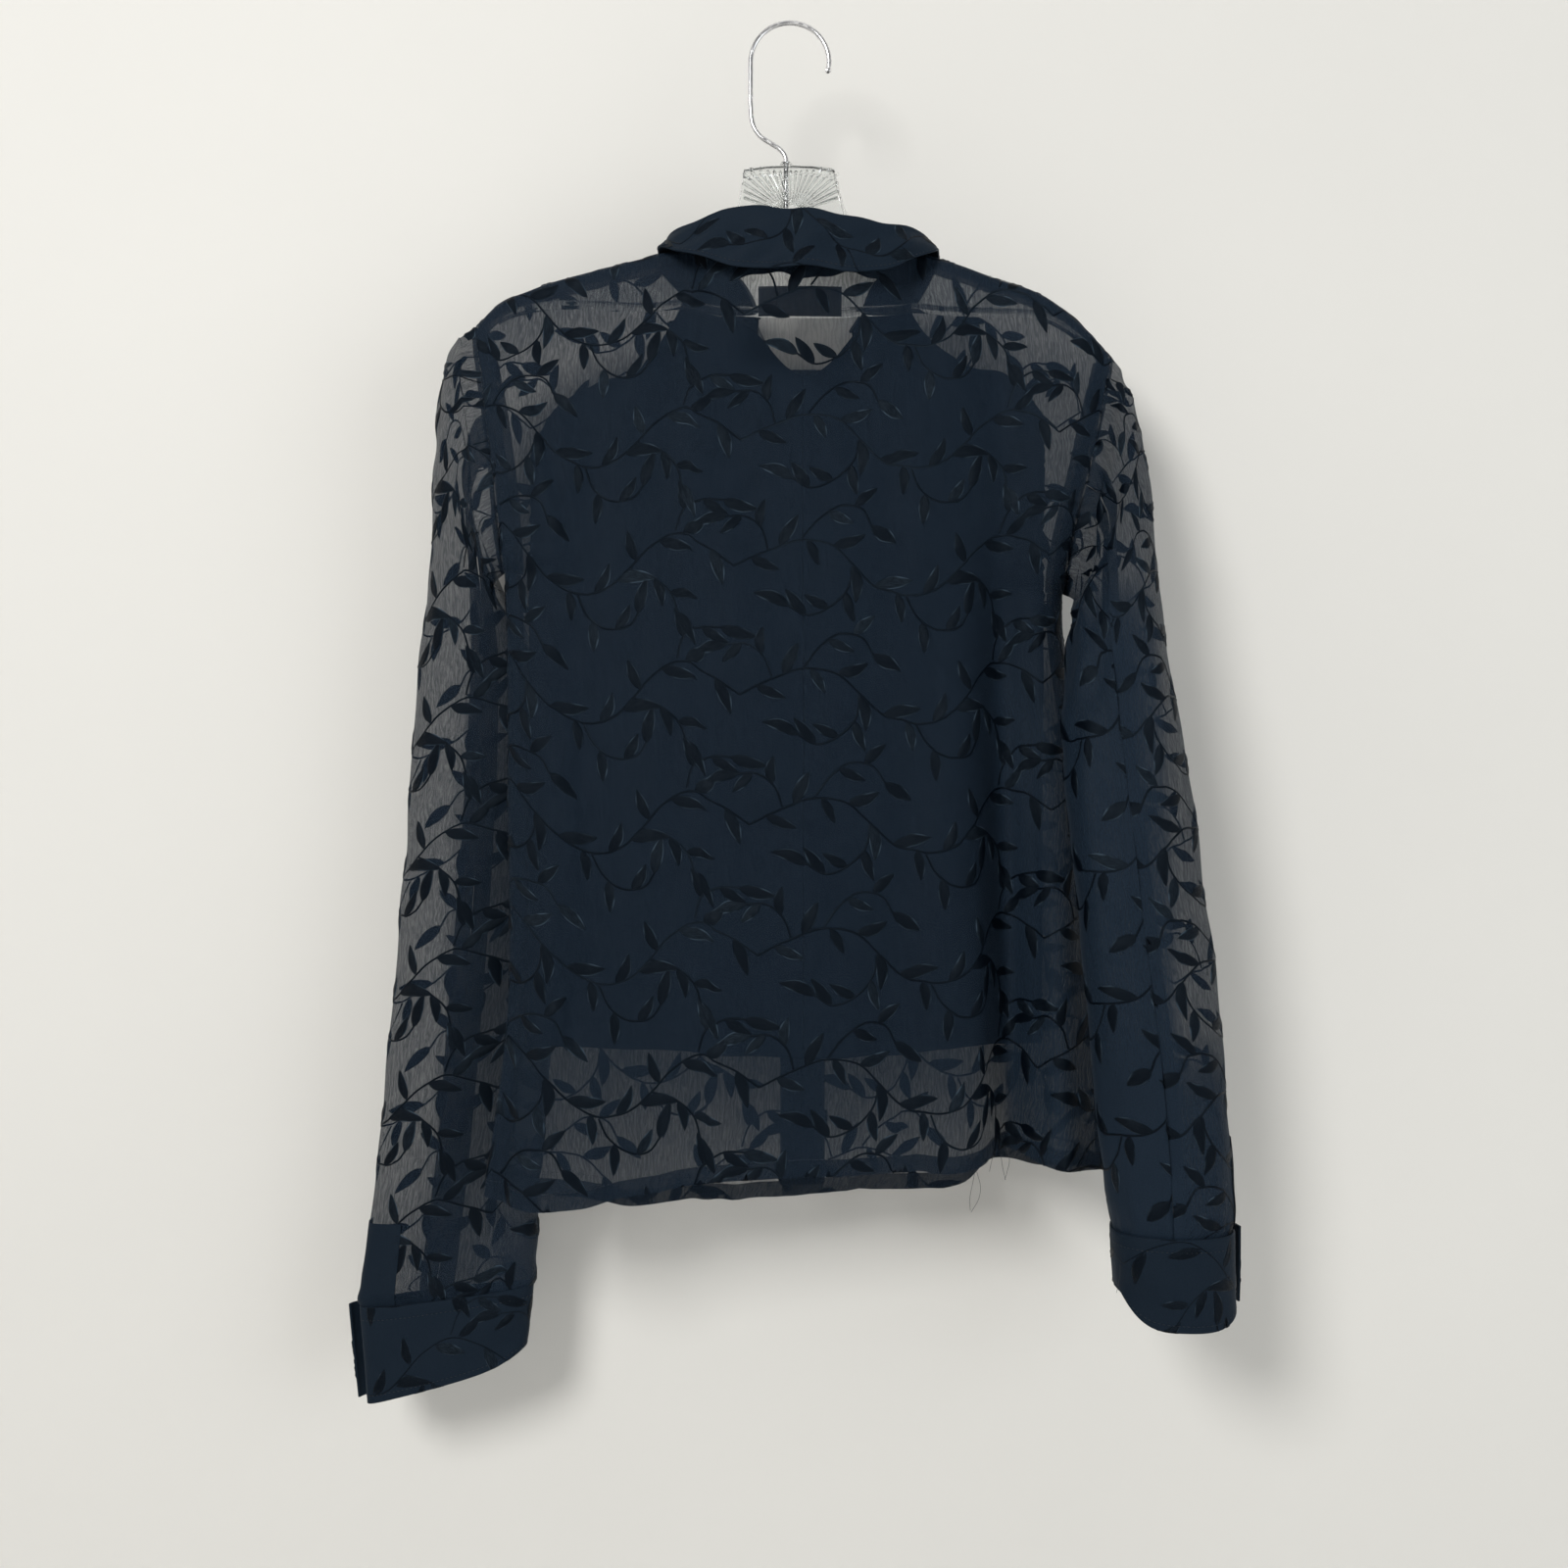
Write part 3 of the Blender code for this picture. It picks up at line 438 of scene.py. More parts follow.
def collar_line(place, bend_count, fall_count):
    """One line of the collar: up the stand, over the fold and down the fall."""
    seam, outward = collar_seam(place)
    rise = np.cross(outward, collar_seam(place + 0.02)[0] - collar_seam(place - 0.02)[0])
    rise /= np.linalg.norm(rise)
    up = np.array([0.0, 0.0, 1.0])
    stand, lean, fall, spread = (
        float(read(COLLAR, COLLAR_COLUMNS, name, np.array(place))) for name in COLLAR_COLUMNS[1:]
    )
    stand += (1.2 * math.sin(place * 19 + 0.6) + 0.7 * math.sin(place * 47)) * max(0.0, 1 - abs(place) * 2)
    base = seam + rise * 1.3
    crest = base + rise * stand + outward * lean
    line = [base + (crest - base) * step / 5 for step in range(5)]
    for step in range(bend_count + 1):
        angle = math.pi * step / bend_count
        bent = crest + outward * COLLAR_FOLD * (1 - math.cos(angle))
        line.append(bent + up * COLLAR_FOLD * math.sin(angle))
    edge = crest + outward * 2 * COLLAR_FOLD
    for step in range(1, fall_count + 1):
        along = step / fall_count
        ripple = 0.7 * along * math.sin(place * 17 + 1.0) * (1 if abs(place) < 0.5 else 0.3)
        creased = soft_noise(95, np.array(place * 210.0), np.array(fall * along * 0.8), 15, 5)
        ripple += 1.5 * float(creased) * math.sin(math.pi * min(along * 1.6, 1.0) * 0.5)
        line.append(edge + outward * (spread * along + ripple) - up * fall * along)
    return line


# Grids to meshes

def normals_of(points):
    down = np.gradient(points, axis=0)
    across = np.gradient(points, axis=1)
    normal = np.cross(across, down)
    return normal / np.maximum(np.linalg.norm(normal, axis=-1, keepdims=True), 1e-9)


def cloth_lengths(points, middle):
    """How far each grid point lies across and down the cloth when it is flat, in millimetres."""
    across = np.concatenate([np.zeros_like(points[:, :1, 0]), np.cumsum(
        np.linalg.norm(np.diff(points, axis=1), axis=-1), axis=1)], axis=1)
    across -= across[:, middle:middle + 1]
    down = np.concatenate([np.zeros_like(points[:1, :, 0]), np.cumsum(
        np.linalg.norm(np.diff(points, axis=0), axis=-1), axis=0)], axis=0)
    down -= points[:1, :, 2]
    return across, down


def place_object(name, data):
    piece = bpy.data.objects.new(name, data)
    bpy.context.scene.collection.objects.link(piece)
    return piece


def form_object(name, form, sharp=None):
    """An object from a modelled form, smooth but for edges sharper than an angle in degrees."""
    bmesh.ops.recalc_face_normals(form, faces=form.faces)
    mesh = bpy.data.meshes.new(name)
    form.to_mesh(mesh)
    form.free()
    if sharp:
        mesh.shade_smooth()
        mesh.set_sharp_from_angle(angle=math.radians(sharp))
    return place_object(name, mesh)


def mesh_object(name, points, faces, uv=None):
    """An object from points in millimetres, faces and a cloth coordinate for each point."""
    mesh = bpy.data.meshes.new(name)
    mesh.from_pydata((np.asarray(points).reshape(-1, 3) * MM).tolist(), [], faces.tolist())
    mesh.update()
    if uv is not None:
        layer = mesh.uv_layers.new(name="cloth")
        loops = np.empty(len(mesh.loops), int)
        mesh.loops.foreach_get("vertex_index", loops)
        layer.data.foreach_set("uv", np.asarray(uv, float).reshape(-1, 2)[loops].ravel())
    mesh.shade_smooth()
    return place_object(name, mesh)


def grid_faces(down_count, across_count):
    down, across = np.meshgrid(np.arange(down_count - 1), np.arange(across_count - 1), indexing="ij")
    first = (down * across_count + across).ravel()
    return np.stack([first, first + across_count, first + across_count + 1, first + 1], axis=1)


def sheet(name, points, lengths, layers_and_shade=None):
    """One layer of cloth over a grid. The layer count says how many layers lie together at each point; on the back's
    right side and the right sleeve's inner side its extra layers are painted shade.
    """
    piece = mesh_object(name, points, grid_faces(*points.shape[:2]), np.stack(lengths, axis=-1) * MM)
    layers = np.ones(points.shape[:2]) if layers_and_shade is None else np.asarray(layers_and_shade, float)
    piece.data.attributes.new("layers_and_shade", "FLOAT", "POINT").data.foreach_set("value", layers.ravel())
    return piece


def thick_sheet(name, points, lengths, thick, bevel=0.35):
    """Doubled cloth: a closed wall about a grid, with softened edges."""
    out = normals_of(points)
    uv = (np.stack(lengths, axis=-1) * MM).reshape(-1, 2)
    both = [(points + out * side * thick / 2).reshape(-1, 3) for side in (1, -1)]
    index = np.arange(out[..., 0].size).reshape(out.shape[:2])
    outer = grid_faces(*index.shape)
    loop = np.concatenate([index[0], index[1:, -1], index[-1, -2::-1], index[-2:0:-1, 0]])
    ahead = np.roll(loop, -1)
    edge = np.stack([loop, ahead, ahead + index.size, loop + index.size], axis=1)
    faces = np.concatenate([outer, outer[:, ::-1] + index.size, edge])
    piece = mesh_object(name, np.concatenate(both), faces, np.concatenate([uv, uv]))
    form = bmesh.new()
    form.from_mesh(piece.data)
    bmesh.ops.recalc_face_normals(form, faces=form.faces)
    form.to_mesh(piece.data)
    form.free()
    piece.data.shade_smooth()
    soft = piece.modifiers.new("soft edge", "BEVEL")
    soft.width = bevel * MM
    soft.segments = 2
    soft.limit_method = "ANGLE"
    soft.angle_limit = math.radians(50)
    return piece


# Shader nodes

def group(name, inputs, outputs):
    """An empty node group, with its input and output sockets by name."""
    tree = bpy.data.node_groups.new(name, "ShaderNodeTree")
    for way, sockets in (("INPUT", inputs), ("OUTPUT", outputs)):
        for title, kind in sockets:
            tree.interface.new_socket(title, in_out=way, socket_type="NodeSocket" + kind)
    return tree, tree.nodes.new("NodeGroupInput").outputs, tree.nodes.new("NodeGroupOutput").inputs


def node(tree, kind, **settings):
    """A shader node. Each setting is an input, given a value or a link, or else a property."""
    made = tree.nodes.new("ShaderNode" + kind)
    for key, value in settings.items():
        socket = made.inputs.get(key.replace("_", " "))
        if socket is None:
            setattr(made, key, value)
        elif isinstance(value, bpy.types.NodeSocket):
            tree.links.new(value, socket)
        else:
            socket.default_value = value
    return made


def math_node(tree, operation, *values):
    made = node(tree, "Math", operation=operation)
    for socket, value in zip(made.inputs, values):
        if isinstance(value, (int, float)):
            socket.default_value = value
        else:
            tree.links.new(value, socket)
    return made.outputs[0]


def ramp(tree, value, low, high, from_low=0.3, from_high=0.7, curve="LINEAR"):
    return node(tree, "MapRange", interpolation_type=curve, Value=value, From_Min=from_low,
                From_Max=from_high, To_Min=low, To_Max=high).outputs[0]


def mix_colours(tree, share, first, second):
    made = node(tree, "Mix", data_type="RGBA", Factor=share)
    made.inputs[6].default_value = (*first, 1)
    made.inputs[7].default_value = (*second, 1)
    return made.outputs[2]


def object_noise(tree, **settings):
    """Noise in the object's own space."""
    where = node(tree, "TexCoord").outputs["Object"]
    return node(tree, "TexNoise", Vector=where, **settings).outputs["Fac"]


def make_crepe():
    """Crinkled chiffon: a fine crepe grain, and the slow watered grain it shows against the light."""
    tree, given, result = group("crepe grain", (("Cloth", "Vector"), ("Fineness", "Float")),
                                (("Grain", "Float"), ("Watering", "Float"), ("Height", "Float")))
    scaled = node(tree, "VectorMath", operation="SCALE", Vector=given["Cloth"],
                  Scale=given["Fineness"]).outputs[0]
    stretched = node(tree, "Mapping", Vector=scaled, Scale=(1.0, 0.28, 1.0)).outputs[0]
    fine = node(tree, "TexNoise", Vector=scaled, Scale=1400.0, Detail=3.0, Roughness=0.6).outputs["Fac"]
    crinkle = node(tree, "TexNoise", Vector=stretched, Scale=420.0, Detail=2.0, Roughness=0.5, Distortion=0.6)
    watered = node(tree, "TexWave", Vector=stretched, Scale=115.0, Distortion=14.0, Detail=2.0,
                   Detail_Scale=1.7)
    tree.links.new(fine, result["Grain"])
    tree.links.new(watered.outputs["Fac"], result["Watering"])
    height = math_node(tree, "ADD", math_node(tree, "MULTIPLY", fine, 0.35), crinkle.outputs["Fac"])
    tree.links.new(height, result["Height"])
    return tree


def make_satin():
    """Floating satin threads that run along a leaf, and a painted highlight: a broken light rim along the leaf's
    edges, where its raised edges would catch the light.
    """
    tree, given, result = group("satin threads", (("Leaf", "Vector"),),
                                (("Rim Highlight", "Float"), ("Thread", "Float")))
    leaf = given["Leaf"]
    across = node(tree, "SeparateXYZ", Vector=leaf).outputs["Y"]
    off = math_node(tree, "ABSOLUTE", math_node(tree, "SUBTRACT", across, 0.5))
    # Painted highlight: a light rim along the leaf's edges.
    rim_highlight = ramp(tree, off, 0.0, 1.0, 0.30, 0.48, "SMOOTHSTEP")
    patchy = node(tree, "TexNoise", Vector=leaf, Scale=2.2, Detail=1.0).outputs["Fac"]
    tree.links.new(math_node(tree, "MULTIPLY", rim_highlight, ramp(tree, patchy, 0.0, 1.0, 0.45, 0.62)), result["Rim Highlight"])
    spun = node(tree, "Mapping", Vector=leaf, Scale=(2.0, 20.0, 1.0), Rotation=(0.0, 0.0, 0.25)).outputs[0]
    threads = node(tree, "TexNoise", Vector=spun, Scale=3.0, Detail=2.0)
    tree.links.new(threads.outputs["Fac"], result["Thread"])
    return tree


CREPE = make_crepe()
SATIN = make_satin()


# Materials

def blank(name, **values):
    material = bpy.data.materials.new(name)
    material.use_nodes = True
    shader = material.node_tree.nodes["Principled BSDF"]
    for key, value in values.items():
        shader.inputs[key.replace("_", " ")].default_value = value
    return material, material.node_tree, shader.inputs


def bump(tree, finish, height, strength, distance):
    made = node(tree, "Bump", Strength=strength, Distance=distance, Height=height)
    tree.links.new(made.outputs[0], finish["Normal"])


def crepe_cloth(name, dark, light, thin, dense):
    """Navy-black crepe chiffon. thin and dense are its least and most cover, both 1 where it is doubled."""
    material, tree, finish = blank(name, Roughness=0.72, Sheen_Weight=0.04, Sheen_Roughness=0.45,
                                   Sheen_Tint=(0.55, 0.68, 0.85, 1), Specular_IOR_Level=0.12)
    cloth = node(tree, "UVMap", uv_map="cloth").outputs[0]
    grain = node(tree, "Group", node_tree=CREPE, Cloth=cloth, Fineness=1.0).outputs
    colour = mix_colours(tree, ramp(tree, grain["Grain"], 0.0, 1.0), dark, light)
    tree.links.new(colour, finish["Base Color"])
    if thin < 1:
        tone = math_node(tree, "ADD", math_node(tree, "MULTIPLY", grain["Grain"], 0.7),
                         math_node(tree, "MULTIPLY", grain["Watering"], 0.3))
        # The layer count per point; its extra layers on the back's right side and the right sleeve's inner side are
        # painted shade.
        layers = node(tree, "Attribute", attribute_name="layers_and_shade").outputs["Fac"]
        through = math_node(tree, "SUBTRACT", 1.0, ramp(tree, tone, thin, dense))
        stacked = math_node(tree, "POWER", through, layers)
        tree.links.new(math_node(tree, "SUBTRACT", 1.0, stacked), finish["Alpha"])
    bump(tree, finish, grain["Height"], 0.5, 0.00035)
    return material


def leaf_cloth(name, dark, light):
    """Satin leaves with painted highlights: light is the highlight colour, painted on each leaf's rim and, on some
    leaves, along its threads. A per-leaf attribute sets how much of each a leaf shows.
    """
    material, tree, finish = blank(name, Roughness=0.5, Specular_IOR_Level=0.12,
                                   Specular_Tint=(0.6, 0.8, 1.0, 1))
    leaf = node(tree, "UVMap", uv_map="cloth").outputs[0]
    satin = node(tree, "Group", node_tree=SATIN, Leaf=leaf).outputs
    # Painted highlight: lighter colour on the leaf's rim and, on leaves with a high share, along its satin threads.
    painted_sheen = node(tree, "Attribute", attribute_name="painted_sheen").outputs["Fac"]
    rim_highlight = math_node(tree, "MULTIPLY", satin["Rim Highlight"], math_node(tree, "ADD", painted_sheen, 0.25))
    painted_float_sheen = math_node(tree, "MULTIPLY", ramp(tree, satin["Thread"], 0.0, 1.0, 0.5, 0.62),
                       ramp(tree, painted_sheen, 0.0, 0.5, 0.72, 1.0))
    share = math_node(tree, "MINIMUM", math_node(tree, "ADD", rim_highlight, painted_float_sheen), 1.0)
    tree.links.new(mix_colours(tree, share, dark, light), finish["Base Color"])
    tree.links.new(ramp(tree, satin["Thread"], 0.34, 0.58), finish["Roughness"])
    bump(tree, finish, satin["Thread"], 0.5, 0.0004)
    return material


def plain_weave(name, dark, light, roughness, scale, specular=0.4):
    """Close-woven dark cloth or thread."""
    material, tree, finish = blank(name, Roughness=roughness, Specular_IOR_Level=specular)
    weave = object_noise(tree, Scale=scale, Detail=2.0)
    tree.links.new(mix_colours(tree, ramp(tree, weave, 0, 1), dark, light), finish["Base Color"])
    bump(tree, finish, weave, 0.3, 0.0002)
    return material


def clear_plastic():
    material, tree, finish = blank("clear plastic", Base_Color=(0.97, 0.985, 0.98, 1), Roughness=0.04,
                                   Transmission_Weight=1.0, IOR=1.5)
    flow = object_noise(tree, Scale=38.0, Detail=2.0)
    tree.links.new(ramp(tree, flow, 0.02, 0.10), finish["Roughness"])
    bump(tree, finish, flow, 0.06, 0.0005)
    return material


def worn_finish(name, dark, light, smooth, rough, scale, **values):
    """Metal or plastic whose colour and gloss change a little where it is handled."""
    noise = {key: values.pop(key) for key in ("Detail", "Distortion") if key in values}
    material, tree, finish = blank(name, **values)
    rub = object_noise(tree, Scale=scale, **noise)
    tree.links.new(ramp(tree, rub, smooth, rough), finish["Roughness"])
    tree.links.new(mix_colours(tree, ramp(tree, rub, 0, 1), dark, light), finish["Base Color"])
    return material


CHIFFON = crepe_cloth("chiffon", (0.0038, 0.0094, 0.0185), (0.009, 0.019, 0.0335), 0.50, 0.68)
DOUBLED = crepe_cloth("doubled chiffon", (0.0026, 0.0074, 0.015), (0.0052, 0.0128, 0.0232), 1.0, 1.0)
TURNED = crepe_cloth("turned chiffon", (0.0028, 0.008, 0.0155), (0.0074, 0.0158, 0.0285), 0.82, 0.95)
# The woven leaf's light colour is the painted highlight of its rims and satin floats.
LEAF = leaf_cloth("woven leaf", (0.0006, 0.0018, 0.0042), (0.034, 0.052, 0.072))
LINING_CLOTH = plain_weave("lining satin", (0.0024, 0.0072, 0.0155), (0.005, 0.0122, 0.0235), 0.75, 900.0,
                           specular=0.08)
THREAD = plain_weave("sewing thread", (0.006, 0.008, 0.012), (0.02, 0.025, 0.032), 0.55, 2500.0)
LABEL = plain_weave("label satin", (0.004, 0.004, 0.005), (0.011, 0.011, 0.013), 0.35, 1500.0)
CLEAR = clear_plastic()
WIRE_METAL = worn_finish("bright wire", (0.6, 0.6, 0.62), (0.8, 0.8, 0.8), 0.12, 0.34, 320.0, Detail=3.0,
                         Metallic=1.0)
BUTTON = worn_finish("button", (0.008, 0.009, 0.012), (0.03, 0.033, 0.04), 0.16, 0.34, 260.0, Detail=2.0,
                     Distortion=1.5, Coat_Weight=0.3)


# What is sewn to each panel, gathered while the pieces are made
SEWN_ON = {}


def dress(piece, material, slot, *nodes, panel=None):
    """Gives a piece its material and body, the solids it stands for and the panel it is sewn to. slot is not used."""
    piece.data.materials.clear()
    piece.data.materials.append(material)
    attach(piece, "root")
    if nodes:
        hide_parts(*nodes)
    if panel:
        SEWN_ON.setdefault(panel, []).append(piece)
    return piece


# The leaf vines. One repeat of the weave is REPEAT wide and high.

REPEAT = (200.0, 77.0)
VINES = (
    ((-6, 30), (14, 21), (34, 15), (52, 18), (66, 30), (80, 43), (98, 51), (116, 48), (130, 36), (142, 23), (158, 14),
     (176, 18), (194, 30)),
    ((34, 14), (44, 2), (58, -6), (70, -4), (76, 6)),
    ((66, 30), (62, 44), (50, 56), (36, 60), (26, 54)),
    ((98, 52), (104, 64), (116, 72), (130, 70), (136, 62)),
    ((130, 36), (144, 40), (156, 50), (160, 62)),
    ((158, 12), (162, 0), (174, -10), (186, -10)),
    ((14, 20), (10, 8), (0, 0), (-12, 0)),
)
# vine, how far along it, side, turn from the vine in degrees, length, width
LEAF_COLUMNS = ("vine", "along", "side", "turn", "length", "width")
LEAVES = (
    (0, 0.05, 1, 48, 19, 5.6), (0, 0.13, -1, 40, 22, 6.4), (0, 0.20, 1, 62, 17, 5.2), (0, 0.27, -1, 52, 21, 6.0),
    (0, 0.34, 1, 44, 23, 6.4), (0, 0.42, -1, 36, 24, 6.6), (0, 0.49, 1, 66, 18, 5.4), (0, 0.56, -1, 50, 20, 5.8),
    (0, 0.63, 1, 38, 25, 6.6), (0, 0.70, -1, 60, 19, 5.6), (0, 0.78, 1, 46, 22, 6.2), (0, 0.85, -1, 56, 20, 5.8),
    (0, 0.93, 1, 40, 23, 6.4), (1, 0.4, 1, 56, 17, 5.4), (1, 0.7, -1, 50, 18, 5.6), (1, 1.0, -1, 18, 22, 6.2),
    (2, 0.3, -1, 48, 19, 5.8), (2, 0.55, 1, 58, 17, 5.4), (2, 0.8, 1, 44, 20, 6.0), (2, 1.0, -1, 12, 23, 6.4),
    (3, 0.35, 1, 50, 19, 5.8), (3, 0.65, -1, 54, 18, 5.4), (3, 1.0, -1, 20, 23, 6.4), (4, 0.4, 1, 44, 18, 5.4),
    (4, 0.7, -1, 52, 17, 5.2), (4, 1.0, -1, 10, 21, 6.2), (5, 0.35, -1, 50, 18, 5.6), (5, 0.7, 1, 46, 18, 5.6),
    (5, 1.0, 1, 14, 23, 6.4), (6, 0.4, 1, 48, 17, 5.4), (6, 0.75, -1, 44, 17, 5.2), (6, 1.0, -1, 16, 21, 6.0),
)


LEAF_WIDER = 1.18
LONGEST_THREAD = 7.0


def line_through(points, keys, at):
    """A smooth line through points, read at places between their keys."""
    table = [(key, *point) for key, point in zip(keys, points)]
    names = ("key", "x", "y", "z")[:len(table[0])]
    return np.stack([read(table, names, name, at) for name in names[1:]], axis=-1)


def smooth_route(points, step):
    """A rounded line through given points."""
    points = np.array(points, float)
    keys = np.concatenate([[0], np.cumsum(np.linalg.norm(np.diff(points, axis=0), axis=1))])
    return line_through(points, keys, np.linspace(0, keys[-1], max(4, int(keys[-1] / step))))


def leaf_outline(root, angle, length, width, bend):
    """A pointed leaf as rows of five points, with the height of each above the cloth."""
    rows = np.linspace(0, 1, 9)
    half = width * LEAF_WIDER / 2 * np.sin(math.pi * rows**0.85) ** 0.8
    centre = np.stack([rows * length, bend * length * np.sin(math.pi * rows)], axis=-1)
    heading = np.stack([np.cos(angle), np.sin(angle)])
    aside = np.stack([-heading[1], heading[0]])
    places, heights, marks = [], [], []
    for row, middle, reach in zip(rows, centre, half):
        for across, up in ((-1, 0.0), (-0.6, 0.62), (0, 0.3), (0.6, 0.62), (1, 0.0)):
            spot = root + heading * middle[0] + aside * (middle[1] + across * reach)
            places.append(spot)
            heights.append(up * math.sin(math.pi * min(max(row, 0.06), 0.94)))
            marks.append((row, across / 2 + 0.5))
    return places, heights, marks


def repeat_motifs():
    """The leaves and vines of one repeat: points, heights, marks and faces."""
    motifs = []
    for route in VINES:
        line = smooth_route(route, 2.6)
        along = np.gradient(line, axis=0)
        along /= np.linalg.norm(along, axis=1, keepdims=True)
        aside = np.stack([-along[:, 1], along[:, 0]], axis=-1)
        places = np.stack([line - aside * 0.62, line, line + aside * 0.62], axis=1).reshape(-1, 2)
        heights = np.tile([0.0, 0.34, 0.0], len(line))
        marks = np.tile([[0.5, 0.35], [0.5, 0.5], [0.5, 0.65]], (len(line), 1))
        motifs.append((places, heights, marks, grid_faces(len(line), 3)))
    shaker = np.random.default_rng(5)
    for row in LEAVES:
        leaf = dict(zip(LEAF_COLUMNS, row))
        line = smooth_route(VINES[leaf["vine"]], 1.0)
        spot = min(int(leaf["along"] * (len(line) - 1)), len(line) - 2)
        course = line[spot + 1] - line[spot]
        angle = math.atan2(course[1], course[0]) + leaf["side"] * math.radians(leaf["turn"])
        bend = leaf["side"] * shaker.uniform(-0.10, 0.04)
        places, heights, marks = leaf_outline(line[spot], angle, leaf["length"], leaf["width"], bend)
        motifs.append((np.array(places), np.array(heights), np.array(marks), grid_faces(9, 5)))
    return motifs


MOTIFS = repeat_motifs()


def sample(values, down, across):
    """Values of a grid between its points."""
    low_down = np.clip(down.astype(int), 0, values.shape[0] - 2)
    low_across = np.clip(across.astype(int), 0, values.shape[1] - 2)
    v, u = down - low_down, across - low_across
    if values.ndim == 3:
        v, u = v[:, None], u[:, None]
    return (
        values[low_down, low_across] * (1 - v) * (1 - u)
        + values[low_down, low_across + 1] * (1 - v) * u
        + values[low_down + 1, low_across] * v * (1 - u)
        + values[low_down + 1, low_across + 1] * v * u
    )


def locate(lengths, places):
    """Where places on the flat cloth lie in a grid, and whether they are on it at all."""
    across_at, down_at = lengths
    rows, columns = across_at.shape
    across = np.full(len(places), columns / 2)
    down = np.full(len(places), rows / 2)
    for _ in range(14):
        past_across = np.clip(across + 1, 0, columns - 1)
        past_down = np.clip(down + 1, 0, rows - 1)
        span_across = sample(across_at, down, past_across) - sample(across_at, down, across - 1)
        span_down = sample(down_at, past_down, across) - sample(down_at, down - 1, across)
        off = places[:, 0] - sample(across_at, down, across)
        across = across + off * 2 / np.maximum(np.abs(span_across), 0.2)
        down = down + (places[:, 1] - sample(down_at, down, across)) * 2 / np.maximum(np.abs(span_down), 0.2)
        across = np.clip(across, -2, columns + 1)
        down = np.clip(down, -2, rows + 1)
    on = (across > -0.6) & (across < columns - 0.4) & (down > -0.6) & (down < rows - 0.4)
    return np.clip(down, 0, rows - 1), np.clip(across, 0, columns - 1), on


def weave_leaves(panel, points, lengths, face, shift, lift=0.12, slot="sheer_cloth"):
    """The repeat laid over a whole piece of cloth, raised on the side that faces out."""
    across_at, down_at = lengths
    out = normals_of(points) * face
    places, heights, marks, faces, owners = [], [], [], [], []
    count = 0
    first = np.floor((np.array([across_at.min(), down_at.min()]) - shift) / REPEAT).astype(int) - 1
    last = np.ceil((np.array([across_at.max(), down_at.max()]) - shift) / REPEAT).astype(int) + 1
    owner = 0
    for row in range(first[1], last[1] + 1):
        for column in range(first[0], last[0] + 1):
            origin = np.array(shift) + np.array([column, row]) * REPEAT
            for spots, rise, mark, quads in MOTIFS:
                places.append(spots + origin)
                heights.append(rise)
                marks.append(mark)
                faces.append(quads + count)
                owners.append(np.full(len(spots), owner))
                count += len(spots)
                owner += 1
    places, heights, marks = np.concatenate(places), np.concatenate(heights), np.concatenate(marks)
    faces, owners = np.concatenate(faces), np.concatenate(owners)
    down, across, on = locate(lengths, places)
    keep = on[faces].any(axis=1)
    faces = faces[keep]
    spots = sample(points, down, across) + sample(out, down, across) * (lift + heights)[:, None]
    corners = spots[faces]
    faces = faces[np.linalg.norm(corners - np.roll(corners, 1, axis=1), axis=2).max(axis=1) < LONGEST_THREAD]
    used, faces = np.unique(faces, return_inverse=True)
    faces = faces.reshape(-1, 4)
    if face > 0:
        faces = faces[:, ::-1]
    piece = mesh_object(f"{panel}_leaves", spots[used], faces, marks[used])
    # A random share of painted highlight for each leaf.
    painted_sheen = np.random.default_rng(19).uniform(0, 1, owner)[owners[used]]
    piece.data.attributes.new("painted_sheen", "FLOAT", "POINT").data.foreach_set("value", painted_sheen.astype(np.float32))
    form = bmesh.new()
    form.from_mesh(piece.data)
    bmesh.ops.dissolve_degenerate(form, dist=1e-7, edges=form.edges)
    form.to_mesh(piece.data)
    form.free()
    return dress(piece, LEAF, slot, panel=panel)


# Sewing

def stitch_row(name, route, out, panel, length=2.1, gap=0.7, across=0.42, slot="doubled_cloth"):
    """A row of separate stitches laid along a route, each a small pointed pillow."""
    route, out = np.asarray(route, float), np.asarray(out, float)
    keys = np.concatenate([[0], np.cumsum(np.linalg.norm(np.diff(route, axis=0), axis=1))])
    starts = np.arange(0.4, keys[-1] - length, length + gap)

    def at(values, place):
        return np.stack([np.interp(place, keys, values[:, axis]) for axis in range(3)], axis=-1)

    along = at(route, starts + length) - at(route, starts)
    along /= np.maximum(np.linalg.norm(along, axis=1, keepdims=True), 1e-9)
    up = at(out, starts)
    aside = np.cross(along, up)
    begin, end, middle = at(route, starts), at(route, starts + length), at(route, starts + length / 2)
    ring = [
        begin - up * 0.05, middle - aside * across / 2 + up * 0.06, middle + up * 0.28,
        middle + aside * across / 2 + up * 0.06, end - up * 0.05, middle - up * 0.12,
    ]
    points = np.stack(ring, axis=1).reshape(-1, 3)
    pattern = np.array([[0, 1, 2], [0, 2, 3], [1, 4, 2], [2, 4, 3], [0, 5, 1], [0, 3, 5], [1, 5, 4], [5, 3, 4]])
    faces = (pattern[None] + 6 * np.arange(len(starts))[:, None, None]).reshape(-1, 3)
    piece = mesh_object(name, points, faces)
    return dress(piece, THREAD, slot, panel=panel)


def grid_route(points, face, down=None, across=None, lift=0.15):
    """A line along a grid's row or column, just off its outer side, with the way it faces."""
    out = normals_of(points) * face
    picked = (points[down], out[down]) if down is not None else (points[:, across], out[:, across])
    return picked[0] + picked[1] * lift, picked[1]


# The pieces.


